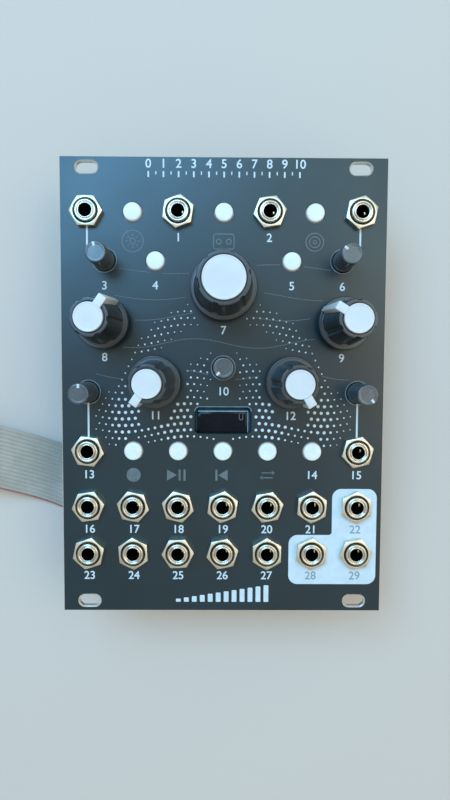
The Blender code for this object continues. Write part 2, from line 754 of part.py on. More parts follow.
def add_trimmer_bore(name, place_xy, group):
    x, y = place_xy
    radius = TRIMMER_PIN_DIAMETER / 2 + TRIMMER_PIN_CLEARANCE
    height = TRIMMER_PIN_DEPTH + SEAT_GAP + CUT_OVERRUN
    top = TRIMMER_BASE_Z - SEAT_GAP + CUT_OVERRUN
    helper(name, prism_mesh(name, radius, height, HOLE_SIDES), (x, y, top - height), group)


def make_board(parts, material):
    """The control board with the bodies of its switches and trimmers, which are soldered to it."""
    bodies = new_collection("board bodies")
    plungers = new_collection("board plungers")
    bores = new_collection("board bores")
    for name, column, row_share in BUTTONS_AT_SHARES:
        add_switch(name + "_switch", at_column(column, row_share), bodies)
        add_plunger(name + "_plunger", at_column(column, row_share), plungers)
    for name, column, row_share, _ in TRIMMERS_AT_SHARES:
        add_trimmer_body(name + "_body", at_column(column, row_share), bodies)
        add_trimmer_bore(name + "_bore", at_column(column, row_share), bores)
    width = PANEL_WIDTH - 2 * BOARD_SIDE_MARGIN
    length = PANEL_HEIGHT - 2 * BOARD_END_MARGIN
    board = place(
        "control_board",
        box_mesh("control_board", (width, length, BOARD_THICKNESS)),
        (0, 0, (BOARD_REAR_Z + BOARD_FRONT_Z) / 2),
        material,
        parts,
    )
    joined_all(board, bodies)
    joined_all(board, plungers)
    joined_all(board, bores, "DIFFERENCE")
    return board


def make_display(parts, glass, plastic):
    """The display's glass behind its window, and the carrier that holds it off the board."""
    middle_y = DISPLAY_TOP_Y - DISPLAY_HEIGHT / 2
    display = place(
        "display_glass",
        box_mesh("display_glass", (DISPLAY_WIDTH, DISPLAY_HEIGHT, DISPLAY_THICKNESS)),
        (0, middle_y, DISPLAY_FACE_Z - DISPLAY_THICKNESS / 2),
        glass,
        parts,
    )
    foot = BOARD_FRONT_Z + SEAT_GAP
    top = DISPLAY_FACE_Z - DISPLAY_THICKNESS - SEAT_GAP
    width = DISPLAY_WIDTH - 2 * CARRIER_MARGIN
    depth = DISPLAY_HEIGHT - 2 * CARRIER_MARGIN
    carrier = place(
        "display_carrier",
        box_mesh("display_carrier", (width, depth, top - foot)),
        (0, middle_y, (foot + top) / 2),
        plastic,
        parts,
    )
    return display, carrier


def add_pins(group):
    """The header's pins, from inside its floor towards the table."""
    height = HEADER_FLOOR / 2 + PIN_LENGTH
    foot = BOARD_REAR_Z - SEAT_GAP - HEADER_FLOOR - PIN_LENGTH
    for column in range(PIN_COLUMNS):
        y = POWER_Y + (column - (PIN_COLUMNS - 1) / 2) * PIN_PITCH
        for side in (-1, 1):
            pin = box_mesh("header_pin", (PIN_SIDE, PIN_SIDE, height))
            helper("header_pin", pin, (POWER_X + side * PIN_PITCH / 2, y, foot + height / 2), group)


def make_power_header(parts, helpers, material):
    """A shrouded header on the board's rear: an open box with two rows of pins and a key gap."""
    header = place(
        "power_header",
        box_mesh("power_header", (HEADER_WIDTH, HEADER_LENGTH, HEADER_HEIGHT)),
        (POWER_X, POWER_Y, BOARD_REAR_Z - SEAT_GAP - HEADER_HEIGHT / 2),
        material,
        parts,
    )
    depth = HEADER_HEIGHT - HEADER_FLOOR
    cavity = helper(
        "header_cavity",
        box_mesh("header_cavity", (CAVITY_WIDTH, CAVITY_LENGTH, depth + CUT_OVERRUN)),
        (POWER_X, POWER_Y, HEADER_MOUTH_Z + (depth - CUT_OVERRUN) / 2),
        helpers,
    )
    key_size = (HEADER_SIDE_WALL + CUT_OVERRUN, HEADER_KEY_WIDTH, depth + CUT_OVERRUN)
    key_x = POWER_X + HEADER_WIDTH / 2 - key_size[0] / 2 + CUT_OVERRUN / 2
    key = helper(
        "header_key",
        box_mesh("header_key", key_size),
        (key_x, POWER_Y, HEADER_MOUTH_Z + (depth - CUT_OVERRUN) / 2),
        helpers,
    )
    pins = new_collection("header pins")
    add_pins(pins)
    joined(header, cavity, "DIFFERENCE")
    joined(header, key, "DIFFERENCE")
    joined_all(header, pins)
    return header


def make_plug(name, middle, heading, parts, helpers, material):
    """A ribbon's plug, socket side up, with one long slot for each row of pins."""
    turn = (0, 0, heading)
    plug = place(
        name,
        box_mesh(name, (PLUG_WIDTH, PLUG_LENGTH, PLUG_TOP_Z)),
        (*middle, PLUG_TOP_Z / 2),
        material,
        parts,
    )
    plug.rotation_euler = turn
    slot_length = PIN_COLUMNS * PIN_PITCH
    slot_depth = PIN_LENGTH + SEAT_GAP
    for side in (-1, 1):
        offset = Matrix.Rotation(heading, 3, "Z") @ Vector((side * PIN_PITCH / 2, 0, 0))
        slot = helper(
            name + "_slot",
            box_mesh(name + "_slot", (PLUG_SLOT_WIDTH, slot_length, slot_depth + CUT_OVERRUN)),
            (
                middle[0] + offset.x,
                middle[1] + offset.y,
                PLUG_TOP_Z - slot_depth + (slot_depth + CUT_OVERRUN) / 2,
            ),
            helpers,
        )
        slot.rotation_euler = turn
        joined(plug, slot, "DIFFERENCE")
    return plug


def make_socket_strips(parts, material):
    """Two socket strips under the control board, which carry the processor board."""
    top = BOARD_REAR_Z - SEAT_GAP
    foot = PROCESSOR_TOP_Z + STRIP_PLASTIC_HEIGHT + SEAT_GAP
    for name, side in (("socket_strip_left", -1), ("socket_strip_right", 1)):
        place(
            name,
            box_mesh(name, (STRIP_WIDTH, STRIP_LENGTH, top - foot)),
            (PROCESSOR_X + side * STRIP_SPACING / 2, PROCESSOR_Y, (top + foot) / 2),
            material,
            parts,
        )


def make_processor(parts, helpers, material):
    """The processor board with its pin strips, its shield can and its USB socket."""
    board = place(
        "processor_board",
        box_mesh("processor_board", (PROCESSOR_WIDTH, PROCESSOR_LENGTH, PROCESSOR_THICKNESS)),
        (PROCESSOR_X, PROCESSOR_Y, PROCESSOR_TOP_Z - PROCESSOR_THICKNESS / 2),
        material,
        parts,
    )
    chip_height = CHIP_HEIGHT + SUNK
    shield = helper(
        "shield_can",
        box_mesh("shield_can", (SHIELD_WIDTH, SHIELD_LENGTH, chip_height)),
        (PROCESSOR_X, PROCESSOR_Y, chip_height / 2),
        helpers,
    )
    usb_y = PROCESSOR_Y + PROCESSOR_LENGTH / 2 + USB_OVERHANG - USB_LENGTH / 2
    usb = helper(
        "usb_socket",
        box_mesh("usb_socket", (USB_WIDTH, USB_LENGTH, chip_height)),
        (PROCESSOR_X, usb_y, chip_height / 2),
        helpers,
    )
    joined(board, shield)
    joined(board, usb)
    strip_height = STRIP_PLASTIC_HEIGHT + SUNK
    for side in (-1, 1):
        strip = helper(
            "pin_strip",
            box_mesh("pin_strip", (STRIP_WIDTH, STRIP_LENGTH, strip_height)),
            (
                PROCESSOR_X + side * STRIP_SPACING / 2,
                PROCESSOR_Y,
                PROCESSOR_TOP_Z - SUNK + strip_height / 2,
            ),
            helpers,
        )
        joined(board, strip)
    return board


def smooth_through(points, steps):
    """Points on a Catmull-Rom curve through the given ones."""
    line = [Vector(p) for p in points]
    line = [2 * line[0] - line[1], *line, 2 * line[-1] - line[-2]]
    found = []
    for a, b, c, d in zip(line, line[1:], line[2:], line[3:], strict=False):
        for step in range(steps):
            t = step / steps
            pull = 2 * a - 5 * b + 4 * c - d
            bend = 3 * b - a - 3 * c + d
            found.append((2 * b + (c - a) * t + pull * t**2 + bend * t**3) / 2)
    found.append(line[-2])
    return found


def ribbon_heading():
    angle = math.radians(RIBBON_HEADING_DEGREES)
    return Vector((math.cos(angle), math.sin(angle), 0))


def ribbon_lead_line():
    """From the plug's side, down to the table and up to where the folded part starts."""
    start = Vector((POWER_X - PLUG_WIDTH / 2 - SEAT_GAP, POWER_Y, RIBBON_EXIT_Z))
    return smooth_through([start, *RIBBON_LEAD_POINTS], 2)


def folded_run(start, end):
    """A level run, and at its end a round half turn down to the run below."""
    heading = (end - start).normalized()
    radius = RIBBON_FOLD_PITCH / 2
    points = [start, start.lerp(end, 0.5)]
    for step in range(FOLD_STEPS + 1):
        angle = math.pi * step / FOLD_STEPS
        drop = Vector((0, 0, radius * (1 - math.cos(angle))))
        points.append(end + heading * radius * math.sin(angle) - drop)
    return points


def ribbon_fold_line():
    """Three level runs, one over the other, and the tail that rises into the far plug."""
    heading = ribbon_heading()
    start = Vector(RIBBON_LEAD_POINTS[-1]) + heading * SEAT_GAP
    run = heading * RIBBON_RUN_LENGTH
    drop = Vector((0, 0, RIBBON_FOLD_PITCH))
    near = start + heading * RIBBON_FOLD_PITCH
    near.z = TOP_RUN_Z
    low = near - 2 * drop
    line = [start, *folded_run(near, near + run), *folded_run(near + run - drop, near - drop)[1:]]
    line += [low.lerp(low + run, 0.5), low + run]
    for step in range(1, TAIL_STEPS + 1):
        share = step / TAIL_STEPS
        rise = (RIBBON_EXIT_Z - LOW_RUN_Z) * (1 - math.cos(math.pi * share)) / 2
        line.append(low + run + heading * RIBBON_TAIL_LENGTH * share + Vector((0, 0, rise)))
    return line


def least_gap(line):
    """How near the ribbon's faces come to each other, past one half turn along it."""
    finely = [
        a.lerp(b, i / GAP_STEPS)
        for a, b in zip(line, line[1:], strict=False)
        for i in range(GAP_STEPS)
    ]
    along = [0.0]
    for a, b in zip(finely, finely[1:], strict=False):
        along.append(along[-1] + (b - a).length)
    half_turn = math.pi * RIBBON_FOLD_PITCH / 2
    gaps = [
        (q - p).length
        for i, p in enumerate(finely)
        for j, q in enumerate(finely)
        if along[j] - along[i] > half_turn
    ]
    return min(gaps) - RIBBON_THICKNESS


def make_strip(name, line, acrosses, material, parts):
    """A flat ribbon: an open surface along its line, thickened to both sides."""
    bm = bmesh.new()
    rows = [
        [bm.verts.new(centre + across * side * RIBBON_WIDTH / 2) for side in (-1, 1)]
        for centre, across in zip(line, acrosses, strict=True)
    ]
    for (a, b), (c, d) in zip(rows, rows[1:], strict=False):
        bm.faces.new((a, b, d, c))
    mesh = bpy.data.meshes.new(name)
    bm.to_mesh(mesh)
    bm.free()
    strip = place(name, mesh, (0, 0, 0), material, parts)
    thickness = strip.modifiers.new("thickness", "SOLIDIFY")
    thickness.thickness = RIBBON_THICKNESS
    thickness.offset = 0
    thickness.use_even_offset = True
    return strip


def lead_acrosses(line):
    """Level directions square to the route, one for each of its points."""
    found = []
    for i in range(len(line)):
        ahead = line[min(i + 1, len(line) - 1)] - line[max(i - 1, 0)]
        found.append(Vector((ahead.y, -ahead.x, 0)).normalized())
    found[0] = Vector((0, 1, 0))
    found[-1] = Vector((ribbon_heading().y, -ribbon_heading().x, 0))
    return found


def make_strap(middle, parts, material):
    """A band round the folded part: a rounded frame that stands on the table across the ribbon."""
    width = RIBBON_WIDTH + 2 * SEAT_GAP
    height = 2 * RIBBON_FOLD_PITCH + RIBBON_THICKNESS + 2 * SEAT_GAP
    around = 2 * STRAP_THICKNESS
    outer_radius = STRAP_RADIUS + STRAP_THICKNESS
    rings = [
        rounded_points(width + around, height + around, outer_radius, (0, 0), 2),
        rounded_points(width, height, STRAP_RADIUS, (0, 0), 2),
    ]
    curve = plate_curve("ribbon_strap", rings, STRAP_WIDTH)
    where = (middle.x, middle.y, STRAP_THICKNESS + height / 2)
    strap = place("ribbon_strap", curve, where, material, parts)
    strap.rotation_euler = (math.radians(90), 0, math.radians(RIBBON_HEADING_DEGREES + 90))
    return strap


def make_ribbon(parts, helpers, looks):
    """The near plug, the lead, the folded part in its strap, and the far plug."""
    make_plug("power_plug", (POWER_X, POWER_Y), 0, parts, helpers, looks["plastic"])
    lead = ribbon_lead_line()
    make_strip("ribbon_lead", lead, lead_acrosses(lead), looks["ribbon"], parts)
    heading = ribbon_heading()
    across = Vector((heading.y, -heading.x, 0))
    folds = ribbon_fold_line()
    make_strip("ribbon_folds", folds, [across] * len(folds), looks["ribbon"], parts)
    make_strap(folds[2], parts, looks["strap"])
    far = folds[-1] + heading * (SEAT_GAP + PLUG_WIDTH / 2)
    turn = math.radians(RIBBON_HEADING_DEGREES)
    make_plug("far_plug", (far.x, far.y), turn, parts, helpers, looks["plastic"])
    print(f"the ribbon's least gap to itself: {least_gap([*lead, *folds]) * 1000:.2f} mm")


def make_materials():
    return {
        "panel": new_material("panel black", (0.012, 0.014, 0.016), 0.35),
        "board": new_material("board black", (0.010, 0.030, 0.020), 0.45),
        "jack": new_material("nickel", (0.780, 0.740, 0.660), 0.25, 1.0),
        "pot": new_material("pot grey", (0.250, 0.260, 0.270), 0.40, 0.6),
        "knob": new_material("knob black", (0.015, 0.015, 0.017), 0.30),
        "cap": new_material("button white", (0.850, 0.860, 0.820), 0.35),
        "glass": new_material("display glass", (0.008, 0.008, 0.010), 0.08),
        "plastic": new_material("connector black", (0.020, 0.020, 0.020), 0.50),
        "ribbon": new_material("ribbon grey", (0.550, 0.560, 0.550), 0.50),
        "strap": new_material("strap black", (0.030, 0.030, 0.032), 0.90),
    }


def make_knobs(parts, helpers, looks):
    """The five large potentiometers with their knobs, and the five trimmers' shafts."""
    for name, column, row_share, angle in KNOBS_AT_SHARES:
        pot_name = name.replace("knob", "pot")
        where = at_column(column, row_share)
        pointed = name != "knob_large"
        cap = SMALL_CAP_DIAMETER if pointed else LARGE_CAP_DIAMETER
        make_pot(pot_name, column, row_share, parts, helpers, looks["pot"])
        make_knob(name, where, angle, cap, pointed, parts, helpers, looks["knob"])
    for name, column, row_share, angle in TRIMMERS_AT_SHARES:
        make_trimmer_knob(name, at_column(column, row_share), angle, parts, helpers, looks["knob"])


def build():
    clear_scene()
    parts = new_collection("eurorack module")
    helpers = new_collection("cutters and joined shapes")
    looks = make_materials()
    make_panel(parts, looks["panel"])
    for index, (row, column, nut_angle) in enumerate(JACKS, 1):
        make_jack(index, row, column, nut_angle, parts, helpers, looks["jack"])
    make_knobs(parts, helpers, looks)
    for name, column, row_share in BUTTONS_AT_SHARES:
        make_button_cap(name, at_column(column, row_share), parts, looks["cap"])
    make_board(parts, looks["board"])
    make_display(parts, looks["glass"], looks["plastic"])
    make_power_header(parts, helpers, looks["plastic"])
    make_socket_strips(parts, looks["plastic"])
    make_processor(parts, helpers, looks["board"])
    make_ribbon(parts, helpers, looks)


build()
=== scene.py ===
"""The looks of a eurorack sound module that lies on its back, with its power ribbon put away.

Metres, +Z up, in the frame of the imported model. The panel faces up and its top edge is at +Y.
"""

import json
import math

import bmesh
import bpy
from mathutils import Matrix, Vector


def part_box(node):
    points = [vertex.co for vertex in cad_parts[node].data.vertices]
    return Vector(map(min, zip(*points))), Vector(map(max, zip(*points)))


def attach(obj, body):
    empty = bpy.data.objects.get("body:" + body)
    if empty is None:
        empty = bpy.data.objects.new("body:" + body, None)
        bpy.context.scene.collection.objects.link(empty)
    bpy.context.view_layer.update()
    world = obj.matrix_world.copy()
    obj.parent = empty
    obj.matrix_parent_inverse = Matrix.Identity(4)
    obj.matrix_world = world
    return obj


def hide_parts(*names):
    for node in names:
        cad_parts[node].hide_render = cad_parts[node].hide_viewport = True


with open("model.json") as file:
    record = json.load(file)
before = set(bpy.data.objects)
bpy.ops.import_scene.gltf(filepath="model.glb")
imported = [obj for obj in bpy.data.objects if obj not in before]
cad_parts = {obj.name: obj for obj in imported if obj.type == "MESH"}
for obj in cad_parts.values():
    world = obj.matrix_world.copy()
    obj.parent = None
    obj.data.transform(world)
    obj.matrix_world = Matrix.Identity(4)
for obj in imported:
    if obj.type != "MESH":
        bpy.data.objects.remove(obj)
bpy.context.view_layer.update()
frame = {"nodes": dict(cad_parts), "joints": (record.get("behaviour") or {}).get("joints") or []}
BODY = "module"
UP = Vector((0, 0, 1))
ORIGIN = (0, 0)
SIDES = (-1, 1)
QUARTER = math.pi / 2
BOXES = {node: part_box(node) for node in frame["nodes"]}


def middle(node):
    """The middle of a node's box, seen from above."""
    low, high = BOXES[node]
    return ((low.x + high.x) / 2, (low.y + high.y) / 2)


def span(node):
    """The width, depth and height of a node's box."""
    low, high = BOXES[node]
    return (high.x - low.x, high.y - low.y, high.z - low.z)


def even(count, pitch):
    """Even steps on both sides of zero."""
    return [(index - (count - 1) / 2) * pitch for index in range(count)]


JOINTS = {joint["child"]: joint for joint in frame["joints"]}
KNOBS = ["knob_large", "knob_upper_left", "knob_upper_right", "knob_lower_left", "knob_lower_right"]
TRIMMERS = [name for name in frame["nodes"] if name.startswith("trimmer_")]
BUTTONS = [name for name in frame["nodes"] if name.startswith("button_")]
JACKS = [f"jack_{index:02d}" for index in range(1, 21)]

# Small distances shared by many pieces
MERGE = 0.000001
FINE_EDGE = 0.00006
THIN_EDGE = 0.00008
SMALL_EDGE = 0.0001
SOFT_EDGE = 0.00015
FIRM_EDGE = 0.0002
WIDE_EDGE = 0.0003
BROAD_EDGE = 0.0004
SMOOTH_DEGREES = 32
FILL_SCALE = 1000

# Levels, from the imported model
PANEL_LOW, PANEL_HIGH = BOXES["front_panel"]
FACE_Z = PANEL_HIGH.z
REAR_Z = PANEL_LOW.z
BOARD_THICKNESS = 0.0016
BOARD_REAR_Z = BOXES["control_board"][0].z
BOARD_FRONT_Z = BOARD_REAR_Z + BOARD_THICKNESS
LIP_Z = BOXES["jack_01"][1].z
JACK_BASE_Z = BOXES["jack_01"][0].z
SEAT_GAP = JACK_BASE_Z - BOARD_FRONT_Z
PITCH = middle("jack_08")[0] - middle("jack_07")[0]
ROW_1, ROW_2, ROW_3, ROW_4 = [middle(name)[1] for name in ("jack_01", "jack_05", "jack_07", "jack_14")]

# Camera and light. A lamp is its name, place, size, power and colour
CAMERA_LENS = 25.65
CAMERA_PLACE = (-0.000631, 0.006216, FACE_Z + 0.161232)
CAMERA_TURN = (-0.058, -0.007, 0.005)
STUDIO_COLOR = (0.90, 1.0, 0.95, 1)
STUDIO_STRENGTH = 0.40
LAMPS = [
    ("window", (-0.32, 0.48, 0.94), 0.58, 9.3, (0.21, 0.58, 1.0)),
    ("ceiling", (0.22, -0.10, 1.50), 1.60, 2.2, (1.0, 0.95, 0.88)),
    ("sky", (0.30, 0.42, 0.95), 0.50, 1.3, (0.50, 0.88, 1.0)),
    ("lamp", (0.58, 0.06, 1.00), 0.50, 1.8, (1.0, 0.90, 0.70)),
]

# Panel
HOLE_CLEARANCE = 0.00025
SLOT_LENGTH = 0.0060
SLOT_WIDTH = 0.0032
SLOT_SIDE_INSET = 0.0075
SLOT_END_INSET = 0.0030
SLOT_SPACING = 0.0762
WINDOW_WIDTH = 0.0158
WINDOW_HEIGHT = 0.0074
WINDOW_RADIUS = 0.0012
WINDOW_Y = -0.008905
PANEL_EDGE = 0.00018
SLOT_EDGE = 0.00035
BUTTON_HOLE_EDGE = 0.00006
WINDOW_EDGE = 0.00025
TRIMMER_HOLE_EDGE = 0.00035

# Jacks: how far each nut is turned, in degrees anticlockwise from X
NUT_TURNS = [0, 21, 9, 19, -7, 14, 8, -11, -14, 22, 11, 26, 28, 18, 34, 3, 12, 30, 25, 10]
JACK_BODY = Vector((0.0090, 0.0105, 0.0100))
BARREL_RADIUS = 0.0030
BORE_RADIUS = 0.0018
BORE_FLOOR = 0.0014
INNER_RIDGE = 0.00018
OUTER_RIDGE = 0.00036
JACK_NUT_FLATS = 0.0080
JACK_NUT_HEIGHT = 0.0017
NUT_SUNK = 0.0005
NUT_CHAMFER_SLOPE = 0.36
SLEEVE_RADIUS = 0.0025
LIP_LIT = 0.0004
THREAD_DEPTH = 0.00012
THREAD_PITCH = 0.0005
BORE_CONTACT_SIZE = (0.0007, 0.0010, 0.0030)
SIDE_SPRING_SIZE = (0.0002, 0.0030, 0.0056)
END_CONTACT_SIZE = (0.0034, 0.0002, 0.0030)

# Potentiometers
POT_BODY = Vector((0.0095, 0.0113, 0.0065))
POT_NUT_FLATS = 0.0100
POT_NUT_HEIGHT = 0.0020
POT_BUSH_RADIUS = 0.0036
BUSH_ROOT = 0.0030
WASHER_RADIUS = 0.0056
WASHER_HEIGHT = 0.0003
SHAFT_RADIUS = 0.0030
LEG_PITCH = 0.0025
POT_LEG_SIZE = (0.0009, 0.0002, 0.0026)
POT_LUG_SIZE = (0.0002, 0.0030, 0.0040)

# Knobs
SKIRT_HEIGHT = 0.0014
CAP_HEIGHT = 0.0006
RIM_HEIGHT = 0.0006
CAP_RIM = 0.0002
TAPER = 0.0011
SKIRT_STEP = 0.0012
CAP_GAP = 0.00028
KNOB_BEND = 0.0003
FLUTES = 6
FLUTE_WIDTH = 0.0018
FLUTE_DEPTH = 0.00055
POINTER_WIDTH = 0.0023
POINTER_FOOT_WIDTH = 0.0015
POINTER_PROUD = 0.0014
POINTER_FOOT_PROUD = 0.0001
POINTER_TUCK = 0.0006
POINTER_EDGE = 0.00022
# The large knob's slit is a near-black block, a painted shadow in its pointer's slot.
SLIT_SHADE_SIZE = (0.0025, 0.00028, 0.00024)
SLIT_SHADE_INSET = 0.00045
SLIT_SHADE_SUNK = 0.00010
SMALL_CAP_RADIUS = 0.0037
SMALL_TOP_RADIUS = 0.0050
LARGE_CAP_RADIUS = 0.0055
LARGE_TOP_RADIUS = 0.0069

# Half a groove across a knob's side: shares of its half width and of its depth
GROOVE_SHARES = ((0, 1), (0.35, 1), (0.62, 0.94), (0.74, 0.7), (0.86, 0.22), (0.98, 0.03), (1.12, 0))
HALF_STEPS = 11

# Trimmers and buttons
TRIMMER_FOOT_RADIUS = 0.00295
TRIMMER_TIP_RADIUS = 0.0028
TRIMMER_RIM = 0.0004
TRIMMER_STEM_RADIUS = 0.0014
TRIMMER_BODY_SIDE = 0.0068
TRIMMER_BODY_HEIGHT = 0.0050
TRIMMER_LEG_SIZE = (0.0006, 0.0002, 0.0020)
MARK_WIDTH = 0.0007
MARK_LENGTH = 0.0011
BUTTON_RADIUS = 0.00255
BUTTON_CROWN = 0.0005
BUTTON_STEM_RADIUS = 0.0020
BUTTON_FLANGE_RADIUS = 0.0033
BUTTON_FLANGE_HEIGHT = 0.0008
SWITCH_SIDE = 0.0060
SWITCH_HEIGHT = 0.0036
SWITCH_LEG_X = 0.0031
SWITCH_LEG_Y = 0.0022
SWITCH_LEG_SIZE = (0.0003, 0.0007, 0.0016)
RIVET_RADIUS = 0.0004
RIVET_REACH = 0.0021
PLUNGER_RADIUS = 0.0017

# Ribbon: the route's points repeat those of the model's source
RIBBON_WIDTH = 0.0203
RIBBON_THICKNESS = 0.0009
RIBBON_WEB = 0.00036
CONDUCTORS = 16
CONDUCTOR_PITCH = RIBBON_WIDTH / CONDUCTORS
RIB_STEPS = 4
RED_SIDE = -1
RED_SHARE = 0.5
FOLD_PITCH = 0.0073
RUN_LENGTH = 0.0600
TAIL_LENGTH = 0.0180
LEAD_STEPS = 8
RUN_STEPS = 30
FOLD_STEPS = 16
TAIL_STEPS = 12
HEADING_DEGREES = 159
RIBBON_START = (-0.02231, -0.0390, 0.00405)
RIBBON_LEAD_POINTS = [
    (-0.0292, -0.0390, 0.0034),
    (-0.0350, -0.0385, 0.0016),
    (-0.0415, -0.0362, 0.0007),
    (-0.0480, -0.0332, 0.0007),
    (-0.0545, -0.0303, 0.0013),
    (-0.0610, -0.0276, 0.0034),
    (-0.0675, -0.0251, 0.0063),
    (-0.0740, -0.0226, 0.0096),
    (-0.0800, -0.0203, 0.0126),
    (-0.0860, -0.0180, 0.0149),
    (-0.0920, -0.0157, 0.0160),
    (-0.0985, -0.0132, 0.01615),
]
LOW_RUN_Z = 0.00155
TOP_RUN_Z = LOW_RUN_Z + 2 * FOLD_PITCH
HEADING_ANGLE = math.radians(HEADING_DEGREES)
HEADING = Vector((math.cos(HEADING_ANGLE), math.sin(HEADING_ANGLE), 0))
FOLD_ACROSS = Vector((HEADING.y, -HEADING.x, 0))
PLUG_WIDTH = 0.0059
PLUG_LENGTH = 0.0242
PLUG_TOP_Z = 0.0137
COVER_HEIGHT = 0.0036
HOOK_SIZE = (0.0024, 0.0014, 0.0066)
PIN_PITCH = 0.00254
PIN_COLUMNS = 8
MOUTH_SIDE = 0.0018
MOUTH_BORE = 0.0011
MOUTH_DEPTH = 0.0004
MOUTH_SPRING_SIZE = (0.0005, 0.0009, 0.0005)
STRAP_WIDTH = 0.0100
STRAP_THICKNESS = 0.0008

# Print
INK = 0.00003
LINE_WIDTH = 0.0005
NUMBER_SIZE = 0.0033
LABEL_BELOW = 0.0069
SIGN_BELOW = 0.0079
THIN_LINE = 0.00025
LINE_UNDER_JACK = 0.0040
LINE_OVER_JACK = 0.0038
LINE_BEND = 0.0031

# The signs under the buttons
SUN_RADII = (0.0009, 0.0031)
RAY_ENDS = (0.0013, 0.0020)
DISC_RADII = (0.0026, 0.0016, 0.0006)
RECORD_RADIUS = 0.0020
REEL_RADIUS = 0.0008
REEL_SPACING = 0.0028
SIGN_HALF = 0.0016
SIGN_BAR_WIDTH = 0.0006
LOOP_HALF = 0.0007
LOOP_TIP = 0.0022
LOOP_WIDTH = 0.0003
HEAD_LENGTH = 0.0009
HEAD_HALF = 0.0006

# The outlined block round three jacks
BLOCK_RIGHT = 0.0442
BLOCK_INNER_X = 0.0314
BLOCK_LEFT = 0.01904
BLOCK_TOP = -0.0285
BLOCK_STEP = -0.0419
BLOCK_FOOT = -0.0563
BLOCK_RADIUS = 0.0026

# The scale at the head, whose ticks are (length, width), and the bars at the foot
SCALE_STEP = 0.0042
SCALE_Y = 0.0622
SCALE_TICK_TOP = 0.0602
SCALE_NUMBER_SIZE = 0.0034
LONG_TICK = (0.0016, 0.00045)
SHORT_TICK = (0.0009, 0.0003)
RAMP_BARS = 12
RAMP_PITCH = 0.0023
RAMP_BAR_WIDTH = 0.0014
RAMP_FOOT_Y = -0.0616
RAMP_LEAST = 0.0009
RAMP_RISE = 0.0040

# The halftone and the faint lines
DOT_ROWS = 27
DOT_SPACING = 0.00185
DOT_TOP = 0.0335
DOT_FOOT = -0.0148
DOT_LARGEST = 0.00047
DOT_LEAST = 0.00013
TONE_SIDE = 0.0415
TONE_Y = -0.0085
TONE_HEIGHT = 0.0070
TONE_WIDTH = 0.036
RINGS_Y = -0.0090
RINGS_RATE = 440
RINGS_REACH = 0.044
WINDOW_MARGIN_X = 0.0010
WINDOW_MARGIN_Y = 0.0009
SIDE_MARGIN = 0.0014
WAVE_HEIGHT = 0.0013
WAVE_RATE = 165
WAVE_LINES = [0.0335, 0.0262, 0.0205, 0.0128, 0.0040]
WAVE_STEP = 0.0011
WAVE_LINE_WIDTH = 0.00016
BARE_ROUND = (
    (JACKS, 0.0056), (BUTTONS, 0.0034), (TRIMMERS, 0.0042), (KNOBS[1:], 0.0082), (KNOBS[:1], 0.0104),
)
BARE_NUMBER = 0.0026

# Small parts on the boards. A joint is its place beside the control's axis, and its radius
JOINT_HEIGHT = 0.0007
SOLDER_JOINTS = (
    (JACKS, [(0, y, 0.0009) for y in (-0.0046, 0.0018, 0.0046)]),
    (KNOBS, [
        *((x, -0.0054, 0.0007) for x in even(3, LEG_PITCH)),
        (-0.0044, 0, 0.0012), (0.0044, 0, 0.0012),
    ]),
    (TRIMMERS, [(x, -0.0034, 0.0007) for x in even(3, LEG_PITCH)]),
    (BUTTONS, [(a * SWITCH_LEG_X, b * SWITCH_LEG_Y, 0.0007) for a in SIDES for b in SIDES]),
)
LONG_CHIP = (0.0040, 0.0088, 0.0015)
REAR_CHIPS = [
    # place, size, legs on a side, turned a quarter
    ((-0.0060, -0.0400), LONG_CHIP, 7, False),
    ((0.0060, -0.0400), LONG_CHIP, 7, False),
    ((0.0200, -0.0400), LONG_CHIP, 7, False),
    ((0.0330, -0.0400), LONG_CHIP, 7, False),
    ((-0.0250, 0.0300), (0.0040, 0.0050, 0.0015), 4, True),
    ((0.0290, 0.0300), LONG_CHIP, 7, True),
    ((0.0310, -0.0080), (0.0070, 0.0070, 0.0012), 8, False),
    ((-0.0270, 0.0060), LONG_CHIP, 7, False),
]
REAR_CANS = [(-0.0330, y) for y in (-0.0290, -0.0360, -0.0430, -0.0500)]
CAN_RADIUS = 0.0025
CAN_HEIGHT = 0.0054
PASSIVE_HEIGHT = 0.0005

# Power header, processor board and its socket strips
HEADER_SIDE_WALL = 0.0012
HEADER_END_WALL = 0.0016
HEADER_FLOOR = 0.0025
HEADER_KEY = 0.0045
PIN_LENGTH = 0.0052
PIN_SIDE = 0.00064
PROCESSOR_X = middle("processor_board")[0]
PROCESSOR_Y = middle("socket_strip_left")[1]
PROCESSOR_LENGTH = 0.0510
PROCESSOR_TOP_Z = 0.0041
SHIELD_WIDTH = 0.0120
SHIELD_LENGTH = 0.0200
SOCKET_LENGTH = 0.0056
SOCKET_OUTSIDE = (0.0076, 0.0025, 0.0007)
SOCKET_INSIDE = (0.0070, 0.0019, 0.0005)
SOCKET_TONGUE = (0.0054, 0.0046, 0.0006)
SOCKET_BACK = (0.0072, 0.0003, 0.0022)
SOCKET_DROP = 0.00125
STRIP_REACH = 0.00762
STRIP_PINS = 20
STRIP_WIDTH = 0.0025
STRIP_PITCH = PIN_PITCH * 0.98
STRIP_PIN_SIDE = 0.0006


# Materials

def surface(name, roughness=0.5, metallic=0.0, **sockets):
    """A new material whose shader holds plain values."""
    material = bpy.data.materials.new(name)
    material.use_nodes = True
    shader = material.node_tree.nodes["Principled BSDF"]
    shader.inputs["Roughness"].default_value = roughness
    shader.inputs["Metallic"].default_value = metallic
    for socket, value in sockets.items():
        shader.inputs[socket.replace("_", " ")].default_value = value
    return material


